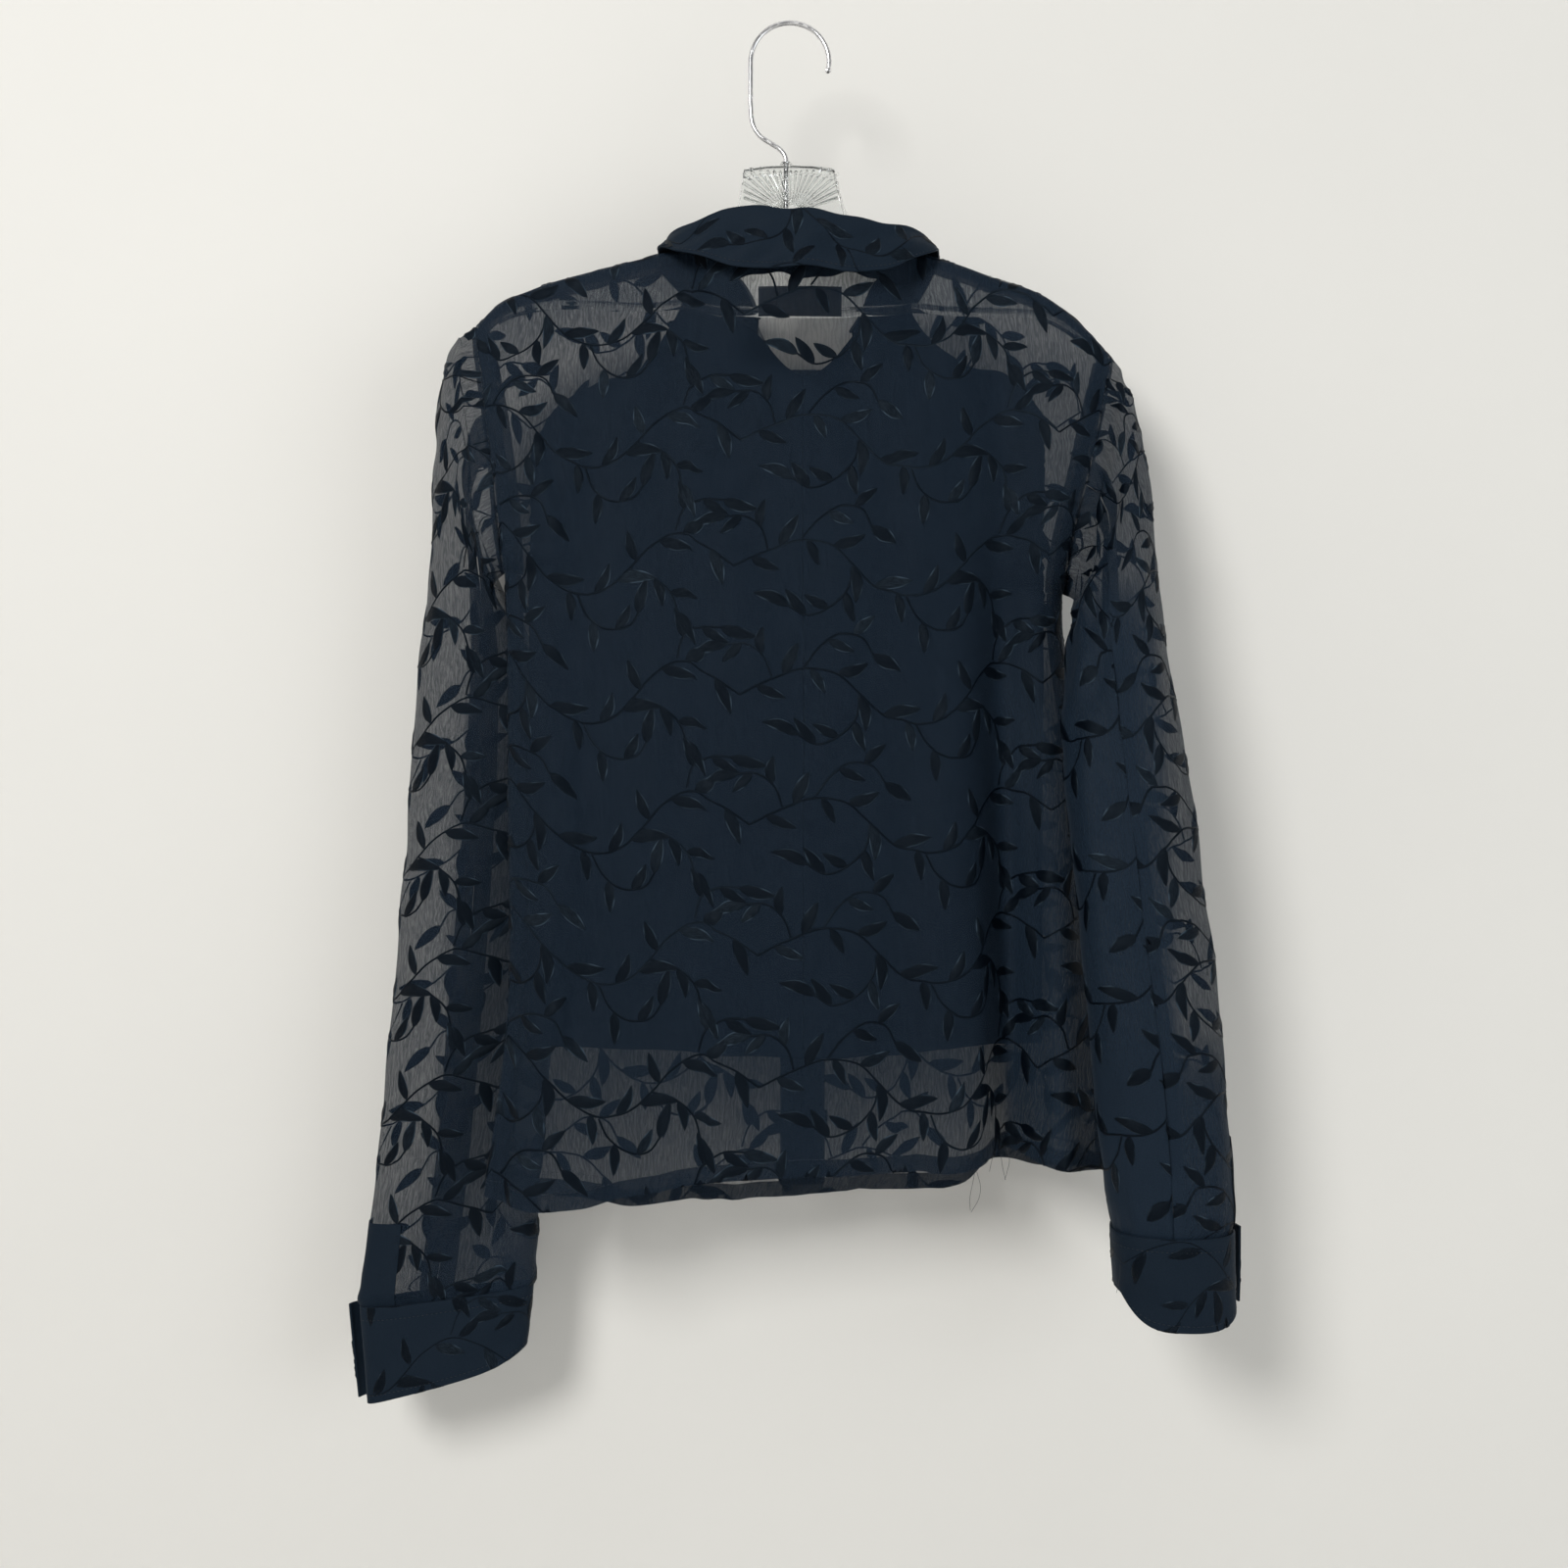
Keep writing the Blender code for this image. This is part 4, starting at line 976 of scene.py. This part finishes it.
def body_sheet(face, first, last, top_of, low_of, lap_side=None):
    """The grid of a body panel, and how far each of its points lies across and down the cloth."""
    across_count = int(abs(last_x(last) - last_x(first)) / CLOTH_STEP * 1.08)
    down_count = int(BODY_LONG / CLOTH_STEP)
    shares, drops = panel_grid(first, last, across_count, down_count, top_of, low_of)
    lap = lap_of(lap_side, body_x(shares, drops)) if lap_side else 0.0
    points = body_point(shares, drops, face, lap)
    middle = int(np.argmin(np.abs(points[down_count // 2, :, 0] - NECK_X)))
    return shares, drops, points, cloth_lengths(points, middle)


def last_x(edge):
    """Roughly where an edge lies, a side seam or a place in x."""
    return {0.0: -175.0, 1.0: 180.0}.get(edge, edge)


def hem_of(panel):
    return lambda x: read(HEM, HEM_COLUMNS, panel, x)


def strip(name, face, share_from, share_to, drop_from, drop_to, across_count, down_count, inset=BAND_INSET,
          lap_side=None):
    """A narrow band laid inside a body panel, between two edges given at each drop or share."""
    u = np.linspace(0, 1, across_count)[None, :]
    v = np.linspace(0, 1, down_count)[:, None]
    drops = drop_from(u) * (1 - v) + drop_to(u) * v
    shares = share_from(drops) * (1 - u) + share_to(drops) * u
    lap = lap_of(lap_side, body_x(shares, drops)) if lap_side else 0.0
    points = body_point(shares, drops, face, lap)
    points = points - normals_of(points) * np.sign(normals_of(points)[..., 1:2]) * face * inset
    return sheet(name, points, cloth_lengths(points, 0))


def edge_share(side, inward):
    """The share that lies a width in from a side seam, at every drop."""
    def at(drop):
        left, right = sides_at(drop)
        return side_share(left + inward if side == "left" else right - inward, drop)
    return at


def right_side_painted_shade(x, drop):
    """Painted shade: extra layers that darken the back's right side beyond its deep fold, by the right sleeve, down to
    just above the hem.
    """
    fold_x = 112 + (drop - 260) * 0.04
    return 1.9 * ease((x - fold_x) / 12) * ease((drop - 330) / 120) * ease((693 - drop) / 5)


def build_back():
    shares, drops, points, lengths = body_sheet(-1, 0.0, 1.0, shoulder_drop, hem_of("back"))
    x = body_x(shares, drops)
    # Layer count over the back: more at the shoulders, fewer at the neck, and extra layers on the right side as
    # painted shade.
    layers_and_shade = 1.15 + right_side_painted_shade(x, drops) + 0.5 * ease((60 + shoulder_drop(x) - drops) / 40)
    layers_and_shade -= 0.75 * np.exp(-((x - 7) / 34) ** 4) * ease((225 - drops) / 20)
    dress(sheet("back_cloth", points, lengths, layers_and_shade), CHIFFON, "sheer_cloth", "back")
    outward = facing_sign(points, -1)
    weave_leaves("back", points, lengths, outward, (-30.0, 152.0))
    middle_drops = drops[:, points.shape[1] // 2]
    hem_row = int(np.abs(middle_drops - (middle_drops[-1] - 9)).argmin())
    stitch_row("back_hem_stitches", *grid_route(points, outward, down=hem_row), "back", slot="sheer_cloth")


def facing_sign(points, want):
    """Whether a grid's normals already point the way that is wanted along Y."""
    return float(np.sign(normals_of(points)[..., 1].mean()) * want)


def build_fronts():
    for side, (first, last) in (("left", (0.0, LAP_EDGES[1])), ("right", (LAP_EDGES[0], 1.0))):
        panel = f"front_{side}"
        _, _, points, lengths = body_sheet(1, first, last, front_neck_drop, hem_of("front"), side)
        dress(sheet(f"{panel}_cloth", points, lengths), CHIFFON, "sheer_cloth", panel)
        outward = facing_sign(points, 1)
        weave_leaves(panel, points, lengths, outward, (8.0, 141.0))
        columns = (-3, -11) if side == "left" else (2, 10)
        for name, where in (("stitches_1", {"across": columns[0]}), ("stitches_2", {"across": columns[1]}),
                            ("hem_stitches", {"down": -5})):
            stitch_row(f"{panel}_{name}", *grid_route(points, outward, **where), panel, slot="sheer_cloth")


def flat(value):
    """The same value at every place."""
    return lambda at: value + 0 * at


def share_at_x(x):
    return lambda drop: side_share(x + 0 * drop, drop)


def hem_line(panel, up):
    """The drop a width above the hem, from one side seam to the other."""
    def at(u):
        share = 0.004 + 0.992 * u
        drop = np.full(share.shape, 700.0)
        for _ in range(6):
            drop = hem_of(panel)(body_x(share, drop))
        return drop - up
    return at


def turned(piece, panel):
    """A hem, seam allowance or facing, sewn to its panel."""
    dress(piece, TURNED, "sheer_cloth", panel=panel)


def build_bands():
    """Turned hems, seam allowances and front facings, each a second layer inside the panel."""
    neck = (NECK_X - NECK_HALF_WIDTH - 1, NECK_X + NECK_HALF_WIDTH + 1)
    for panel, face in (("back", -1), ("front", 1)):
        hem = strip(f"{panel}_hem", face, flat(0.004), flat(0.996), hem_line(panel, HEM_DEEP),
                    hem_line(panel, 0.1), 150, 6)
        turned(hem, "back" if panel == "back" else "front_right")
        for side, edge, tip_x, neck_x in (("left", 0.0, -190.0, neck[0]), ("right", 1.0, 194.0, neck[1])):
            owner = "back" if panel == "back" else f"front_{side}"
            tip, underarm = ARMHOLES[side]
            turned(strip(f"{panel}_armhole_{side}", face, flat(edge), edge_share(side, SEAM_WIDE),
                         flat(tip + 2), flat(underarm), 5, 60), owner)
            turned(strip(f"{panel}_side_seam_{side}", face, flat(edge), edge_share(side, SEAM_WIDE - 1),
                         flat(underarm), flat(700), 5, 110), owner)
            x = tip_x + (neck_x - tip_x) * np.linspace(0, 1, 50)[None, :]
            down = np.linspace(0, 1, 6)[:, None]
            drops = shoulder_drop(x) + 0.4 + down * SEAM_WIDE
            points = body_point(side_share(x + 0 * down, drops), drops, face)
            points[..., 1] -= face * BAND_INSET
            turned(sheet(f"{panel}_shoulder_seam_{side}", points, cloth_lengths(points, 0)), owner)
    # The back neck band is a doubled facing below the neck seam; its opaque dark cloth also stands for painted shade
    # under the collar.
    x = np.linspace(*neck, 70)[None, :] + np.zeros((12, 1))
    top = shoulder_drop(x) + 0.4
    low = np.maximum(NECK_BAND_DROP + 1.7 * np.sin(x * 0.13) + 0.8 * np.sin(x * 0.31), top + 3)
    drops = top + (low - top) * np.linspace(0, 1, 12)[:, None]
    points = body_point(side_share(x, drops), drops, -1)
    points[..., 1] += 0.5
    dress(sheet("back_neck_band_and_shade", points, cloth_lengths(points, 0)), DOUBLED, "sheer_cloth", panel="back")
    for side, edge, sign in (("left", LAP_EDGES[1], -1), ("right", LAP_EDGES[0], 1)):
        reach = edge + sign * FACING_WIDE
        top = float(np.max(front_neck_drop(np.linspace(min(edge, reach), max(edge, reach), 9)))) - 3
        turned(strip(f"facing_{side}", 1, share_at_x(edge), share_at_x(reach), flat(top), flat(716), 10, 170,
                     0.5, side), f"front_{side}")


def build_linings():
    for side, first, last in (("left", -160.0, 7.6), ("right", 8.6, 158.0)):
        shares, drops = panel_grid(first, last, 62, 150, lambda x: read(LINING, LINING_COLUMNS, "top", x),
                                   lambda x: read(LINING, LINING_COLUMNS, "hem", x))
        points = body_point(shares, drops, 1)
        out = normals_of(points)
        out *= np.sign(out[..., 1:2])
        points = points - out * 3.0
        cloth = sheet(f"lining_{side}_cloth", points, cloth_lengths(points, 0))
        dress(cloth, LINING_CLOTH, "lining_cloth", f"lining_{side}")


SLEEVE_SEAM = {"left": 4.9, "right": 1.7}
# How many columns of the sleeve the placket covers on each side of the slit
PLACKET_COLUMNS = {"left": (3, 14), "right": (2, 5)}


def sleeve_layers_and_shade(side, points):
    """Layers of a sleeve, pleated into its cuff. On the right, extra layers darken its inner side as painted shade."""
    x, drop = points[..., 0], -points[..., 2]
    if side == "left":
        low = ease((drop - 700) / 90)
        inner = ease((x + 190) / 14)
        return 1.1 + 1.1 * low * inner + 0.3 * low
    low = ease((drop - 600) / 70)
    # Painted shade along the right sleeve's inner side.
    inner = ease((216 + (drop - 400) * 0.05 - x) / 12)
    return 1.1 + 2.0 * inner * ease((drop - 330) / 60) + 1.9 * low


def cut_of(points, lengths, rows, columns=slice(None)):
    """A part of a grid, with its cloth lengths."""
    return points[rows, columns], [part[rows, columns] for part in lengths]


def build_sleeves():
    down_count, around_count = 200, 90
    for side in ("left", "right"):
        panel = f"sleeve_{side}"
        points, turn = sleeve_grid(side, down_count, around_count, SLEEVE_SEAM[side])
        tucked = ease((np.arange(down_count) - (down_count - 5)) / 4)[:, None]
        middle = points[-1].mean(axis=0)
        points[..., :2] += (middle[:2] - points[..., :2]) * 0.045 * tucked[..., None]
        points[..., 2] -= 3.4 * tucked
        lengths = cloth_lengths(points, around_count // 2)
        cloth = sheet(f"{panel}_cloth", points, lengths, sleeve_layers_and_shade(side, points))
        dress(cloth, CHIFFON, "sheer_cloth", panel)
        centre = points.mean(axis=1, keepdims=True)
        outward = float(np.sign(np.sum(normals_of(points) * (points - centre))))
        weave_leaves(panel, points, lengths, outward, (20.0, 178.0))
        inside = points - normals_of(points) * outward * 0.5
        for number, columns in enumerate((slice(0, 4), slice(-4, None))):
            turned(sheet(f"{panel}_seam_{number + 1}", *cut_of(inside, lengths, slice(None), columns)), panel)
        slit = int(np.argmin(np.abs(turn - 2 * math.pi)))
        before, after = PLACKET_COLUMNS[side]
        placket = cut_of(points + normals_of(points) * outward * 0.7, lengths,
                         slice(down_count - 28, down_count - 2), slice(slit - before, slit + after))
        dress(sheet(f"{panel}_placket", *placket), DOUBLED, "sheer_cloth", panel=panel)
        turned(sheet(f"{panel}_head_seam", *cut_of(inside, lengths, slice(0, 5))), panel)
        stitch_row(f"{panel}_head_stitches", *grid_route(points, outward, down=1), panel, slot="sheer_cloth")


def build_cuffs():
    for side in ("left", "right"):
        points = cuff_grid(side, 26, 130)
        points[:2, :, 2] += np.array([[1.2], [0.4]])
        lengths = cloth_lengths(points, 65)
        cloth = thick_sheet(f"cuff_{side}_cloth", points, lengths, 1.5)
        dress(cloth, DOUBLED, "doubled_cloth", f"cuff_{side}")
        centre = points.mean(axis=(0, 1), keepdims=True)
        outward = float(np.sign(np.sum(normals_of(points) * (points - centre))))
        weave_leaves(f"cuff_{side}", points, lengths, outward, (-12.0, 20.0), 0.62, "doubled_cloth")
        for name, row in (("upper", 3), ("lower", 23)):
            route, out = grid_route(points, outward, down=row, lift=0.8)
            stitch_row(f"cuff_{side}_{name}_stitches", route, out, f"cuff_{side}")


def build_collar():
    places = np.linspace(-1, 1, 200)
    points = np.array([collar_line(place, 8, 22) for place in places]).transpose(1, 0, 2)
    lengths = cloth_lengths(points, 100)
    cloth = thick_sheet("collar_cloth", points, lengths, 1.1, 0.25)
    dress(cloth, DOUBLED, "doubled_cloth", "collar")
    fall = points[12:]
    fall_lengths = [part[12:] for part in lengths]
    outward = float(np.sign(normals_of(fall)[5, 100, 1]) * -1)
    weave_leaves("collar", fall, fall_lengths, outward, (-70.0, 60.0), 0.5, "doubled_cloth")
    route, out = grid_route(points, outward, down=len(points) - 3, lift=0.6)
    stitch_row("collar_stitches", route, out, "collar")


def build_label():
    low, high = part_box("neck_label")
    x, z = np.meshgrid(np.linspace(low.x / MM, high.x / MM, 26), np.linspace(high.z / MM, low.z / MM, 10))
    points = body_point(side_share(x, -z), -z, -1, fine=False)
    points[..., 1] += 1.9 + 0.25 * np.sin(x / 9)
    cloth = thick_sheet("label_cloth", points, cloth_lengths(points, 0), 0.4, 0.1)
    dress(cloth, LABEL, "label", "neck_label")


def lathe(name, profile, sides, centre, axis):
    """A turned form about an axis, from distances and heights."""
    axis = Vector(axis).normalized()
    across = axis.cross(Vector((0, 0, 1))).normalized()
    rise = across.cross(axis)
    form = bmesh.new()
    rings = []
    for distance, height in profile:
        middle = Vector(centre) + axis * height
        turns = [2 * math.pi * step / sides for step in range(1 if distance == 0 else sides)]
        spokes = [across * math.cos(turn) + rise * math.sin(turn) for turn in turns]
        rings.append([form.verts.new((middle + spoke * distance) * MM) for spoke in spokes])
    for lower, upper in zip(rings, rings[1:]):
        for step in range(max(len(lower), len(upper))):
            corners = [lower[step % len(lower)], lower[(step + 1) % len(lower)]]
            corners += [upper[(step + 1) % len(upper)], upper[step % len(upper)]]
            form.faces.new(list(dict.fromkeys(corners)))
    return form_object(name, form, sharp=35), across, rise


# A worked buttonhole behind each front button
BUTTONHOLE_LONG = 15.0
BUTTONHOLE_HALF = 0.85
BUTTONHOLE_BACK = 0.5
BUTTON_PROFILE = (
    (0, 0), (4.6, 0), (5.2, 0.3), (5.5, 0.9), (5.5, 1.6), (5.2, 2.1), (4.7, 2.3), (4.2, 2.2), (3.6, 1.75),
    (2.6, 1.65), (0, 1.65),
)


def build_buttons():
    for name in [row["node"] for row in frame["record"]["subparts"] if "button" in row["node"]]:
        low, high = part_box(name)
        solid = frame["nodes"][name].data
        normal = sum((face.normal * face.area for face in solid.polygons if face.normal.y > 0.9), Vector())
        normal = normal.normalized() if normal.length else Vector((0, 1, 0))
        centre = (low + high) / 2 / MM - normal * 1.2
        button, across, rise = lathe(f"{name}_turned", BUTTON_PROFILE, 40, centre, normal)
        dress(button, BUTTON, "button", name)
        top = centre + normal * 1.95
        for number, sign in enumerate((-1, 1)):
            start = top + across * 1.1 + rise * 1.1 * sign
            end = top - across * 1.1 - rise * 1.1 * sign
            route = np.array([start, (start + end) / 2 + normal * 0.3, end])
            stitch_row(f"{name}_thread_{number + 1}", route, np.tile(np.array(normal), (3, 1)), None,
                       length=2.6, gap=5.0, across=0.8, slot="button")
        if not name.startswith("button_"):
            continue
        for number, sign in enumerate((-1, 1)):
            side = centre - normal * BUTTONHOLE_BACK + across * BUTTONHOLE_HALF * sign
            route = np.array([side + rise * BUTTONHOLE_LONG / 2, side - rise * BUTTONHOLE_LONG / 2])
            stitch_row(f"{name}_hole_{number + 1}", route, np.tile(np.array(normal), (2, 1)), None,
                       length=0.75, gap=0.1, across=1.5, slot="sheer_cloth")


def tube(name, route, radius, material, slot, *nodes, sides=4, panel=None):
    curve = bpy.data.curves.new(name, "CURVE")
    curve.dimensions = "3D"
    curve.bevel_depth = radius * MM
    curve.bevel_resolution = sides
    curve.use_fill_caps = True
    spline = curve.splines.new("POLY")
    spline.points.add(len(route) - 1)
    for point, place in zip(spline.points, route):
        point.co = (*(np.array(place) * MM), 1.0)
    return dress(place_object(name, curve), material, slot, *nodes, panel=panel)


HOOK_RADIUS = 24.0
WIRE = 3.0
HOOK_STEM = (
    (-2.4, 112), (-2.4, 98), (-2.4, 86), (-2.8, 80.5), (-6, 76), (-12, 72), (-18.5, 67.5), (-22.8, 60),
    (-24, 48), (-24, 34),
)


def build_hook():
    stem = line_through([(x, 0.0, -drop) for x, drop in HOOK_STEM], range(len(HOOK_STEM)),
                        np.linspace(0, len(HOOK_STEM) - 1, 60))
    centre = WIRE / 2 - HOOK_RADIUS
    arc = [(HOOK_RADIUS * math.cos(a), 0.0, centre + HOOK_RADIUS * math.sin(a))
           for a in np.radians(np.arange(180, -15, -4))]
    tube("hook_wire", [*stem, *arc], WIRE / 2, WIRE_METAL, "bright_wire", "hanger_hook")
    tip, _, _ = lathe("hook_tip", ((0, -1.9), (1.3, -1.4), (1.9, 0), (1.3, 1.4), (0, 1.9)), 20, arc[-1],
                      (0, 1, 0))
    dress(tip, WIRE_METAL, "bright_wire")
    collar, _, _ = lathe("hook_collar", ((1.6, 0), (3.4, 0), (3.8, 0.6), (3.4, 1.6), (1.6, 1.9)), 28,
                         (-2.4, 0, -86.0), (0.001, 0, 1))
    dress(collar, CLEAR, "clear_plastic")


HANGER_CLEAR = 1.5
PLATE = (
    (-44, 134, 178), (-37, 124, 178), (-32, 111, 178), (-28, 88, 178), (-14, 86, 179), (0, 85.5, 179),
    (14, 86, 179), (27, 88, 179), (33, 111, 179), (41, 126, 178), (50, 137, 178),
)


def hanger_outline():
    """Top and bottom of the hanger from tip to tip."""
    stations = []
    for x in np.linspace(-178, -56, 60):
        top = float(shoulder_drop(np.array(x))) + HANGER_CLEAR
        stations.append((x, top, top + 11 + 25 * float(ease((x + 178) / 122))))
    stations += [tuple(map(float, row)) for row in PLATE]
    for x in np.linspace(66, 182, 60):
        top = float(shoulder_drop(np.array(x))) + HANGER_CLEAR
        stations.append((x, top, top + 36 - 25 * float(ease((x - 66) / 116))))
    return stations


def build_hanger():
    """Clear moulding: rounded rims, a thinner web and ribs that fan out from the plate's foot."""
    section = ((0, 0.0, 0), (0.62, 0.25, 0), (1.0, 0.9, 0), (0.9, 2.0, 0), (0.42, 2.8, 0))
    form = bmesh.new()
    rings = []
    for x, top, bottom in hanger_outline():
        half = 3.75 if abs(x) < 55 else 2.8
        side = [(half * y, top + down * 2.0) for y, down, _ in section]
        side += [(half * y, bottom - down * 2.0) for y, down, _ in section[::-1]]
        outline = side + [(-y, drop) for y, drop in side[-2:0:-1]]
        rings.append([form.verts.new((x * MM, y * MM, -drop * MM)) for y, drop in outline])
    for first, second in zip(rings, rings[1:]):
        for step in range(len(first)):
            ahead = (step + 1) % len(first)
            form.faces.new([first[step], first[ahead], second[ahead], second[step]])
    form.faces.new(rings[0])
    form.faces.new(rings[-1])
    dress(form_object("hanger_moulding", form, sharp=38), CLEAR, "clear_plastic", "hanger")
    ribs = bmesh.new()
    for degrees in range(20, 161, 7):
        angle = math.radians(degrees)
        reach_side = 30 / max(abs(math.cos(angle)), 1e-3)
        reach = min(reach_side, 28 / math.sin(angle)) - 1.5
        if reach < 8:
            continue
        direction = Vector((math.cos(angle), 0, math.sin(angle)))
        aside = Vector((-direction.z, 0, direction.x))
        foot = Vector((0.5, 0, -116))
        for face in (-1, 1):
            base = face * 1.3
            crest = face * 2.9
            near, far = foot + direction * 6, foot + direction * reach
            corners = [near - aside * 0.25, near + aside * 0.25, far + aside * 0.9, far - aside * 0.9]
            low = [ribs.verts.new((c + Vector((0, base, 0))) * MM) for c in corners]
            top_near = ribs.verts.new((near + Vector((0, crest, 0))) * MM)
            top_far = ribs.verts.new((far + Vector((0, crest, 0))) * MM)
            for corner in ([low[0], low[1], low[2], low[3]], [low[0], low[3], top_far, top_near],
                           [low[1], top_near, top_far, low[2]], [low[0], top_near, low[1]], [low[3], low[2], top_far]):
                ribs.faces.new(corner)
    dress(form_object("hanger_ribs", ribs), CLEAR, "clear_plastic")


# Loose thread ends: the panel each hangs from, then its points as x, y and drop
LOOSE_THREADS = (
    ("front_right", (116, 22, 706), (114.5, 22, 714), (112.6, 21, 723), (112.8, 21, 731)),
    ("front_right", (117, 22, 707), (119.2, 21, 716), (118, 21, 724), (113.4, 21, 732)),
    ("back", (124, -2, 692), (122.6, -3, 697), (121.8, -3, 701)),
    ("back", (128.5, -2, 686), (129.6, -3, 697), (131.6, -3, 706)),
    ("back", (132.4, -2, 686), (134, -3, 694), (132.6, -3, 701), (131.2, -3, 706)),
    ("cuff_right", (192, -50, 744), (191, -52, 752), (189.6, -51, 760)),
    ("cuff_right", (259, -40, 733), (259.6, -42, 743), (261.4, -44, 754)),
)


def build_threads():
    for number, (panel, *route) in enumerate(LOOSE_THREADS):
        line = line_through([(x, y, -drop) for x, y, drop in route], range(len(route)),
                            np.linspace(0, len(route) - 1, 24))
        tube(f"thread_end_{number + 1}", line, 0.12, THREAD, "sheer_cloth", sides=1, panel=panel)


# Stage, lights and camera

CAMERA_AWAY = 1.0
CAMERA_AIM = (-0.0036, -0.4644)
WALL_Y = 0.078
FLOOR_Z = -1.15


def paint(name, colour, roughness, one_sided):
    """Mottled paint. One-sided paint is clear from behind and casts no shadow."""
    material, tree, finish = blank(name, Roughness=roughness, Specular_IOR_Level=0.2)
    light = tuple(min(1.0, c * 1.03) for c in colour)
    dark = tuple(c * 0.97 for c in colour)
    mottle = object_noise(tree, Scale=3.0, Detail=4.0)
    tree.links.new(mix_colours(tree, mottle, dark, light), finish["Base Color"])
    if one_sided:
        behind = node(tree, "NewGeometry").outputs["Backfacing"]
        shadow = node(tree, "LightPath").outputs["Is Shadow Ray"]
        hidden = math_node(tree, "MAXIMUM", behind, shadow)
        seen = tree.nodes["Principled BSDF"].outputs[0]
        mix = node(tree, "MixShader")
        for number, socket in enumerate((hidden, seen, node(tree, "BsdfTransparent").outputs[0])):
            tree.links.new(socket, mix.inputs[number])
        tree.links.new(mix.outputs[0], tree.nodes["Material Output"].inputs["Surface"])
    return material


def build_stage():
    wall = mesh_object("pale_wall", np.array([(-1500, WALL_Y / MM, 900), (-1500, WALL_Y / MM, FLOOR_Z / MM),
                                              (1500, WALL_Y / MM, FLOOR_Z / MM), (1500, WALL_Y / MM, 900)]),
                       np.array([[0, 1, 2, 3]]))
    wall.data.materials.append(paint("wall paint", (0.72, 0.71, 0.68), 0.85, True))
    floor = mesh_object("pale_floor", np.array([(-3000, -3000, FLOOR_Z / MM), (3000, -3000, FLOOR_Z / MM),
                                                (3000, 3000, FLOOR_Z / MM), (-3000, 3000, FLOOR_Z / MM)]),
                        np.array([[0, 1, 2, 3]]))
    floor.data.materials.append(paint("floor paint", (0.72, 0.71, 0.69), 0.8, False))


def area_light(name, place, aim, size, power, colour=(1, 1, 1)):
    light = bpy.data.lights.new(name, "AREA")
    light.shape = "DISK"
    light.size = size
    light.energy = power
    light.color = colour
    lamp = place_object(name, light)
    lamp.location = place
    lamp.rotation_euler = (Vector(aim) - Vector(place)).to_track_quat("-Z", "Y").to_euler()


def build_lights():
    area_light("key", (-1.0, -2.0, 0.55), (0.05, 0, -0.45), 0.8, 40, (1.0, 0.99, 0.97))
    area_light("fill", (1.7, -1.5, -0.3), (0.1, 0, -0.5), 1.6, 14, (0.95, 0.98, 1.0))
    area_light("top", (0.1, -0.6, 1.3), (0, 0, -0.3), 1.2, 2, (1.0, 0.99, 0.97))
    area_light("behind", (0.8, 1.9, 0.3), (0, 0, -0.45), 1.4, 16, (0.97, 0.99, 1.0))
    world = bpy.data.worlds.new("pale room")
    world.use_nodes = True
    world.node_tree.nodes["Background"].inputs["Color"].default_value = (0.80, 0.80, 0.79, 1)
    world.node_tree.nodes["Background"].inputs["Strength"].default_value = 0.36
    bpy.context.scene.world = world


def build_camera():
    camera = bpy.data.cameras.new("view of the back")
    camera.sensor_width = 36.0
    camera.lens = 36.0 * CAMERA_AWAY / 0.96
    eye = place_object("view of the back", camera)
    eye.location = (CAMERA_AIM[0], -CAMERA_AWAY, CAMERA_AIM[1])
    eye.rotation_euler = (math.radians(90), 0, 0)
    bpy.context.scene.camera = eye


build_back()
build_fronts()
build_bands()
build_linings()
build_sleeves()
build_cuffs()
build_collar()
build_label()
build_buttons()
build_hanger()
build_hook()
build_threads()
build_stage()
build_lights()
build_camera()
bpy.context.scene.view_settings.view_transform = "Standard"
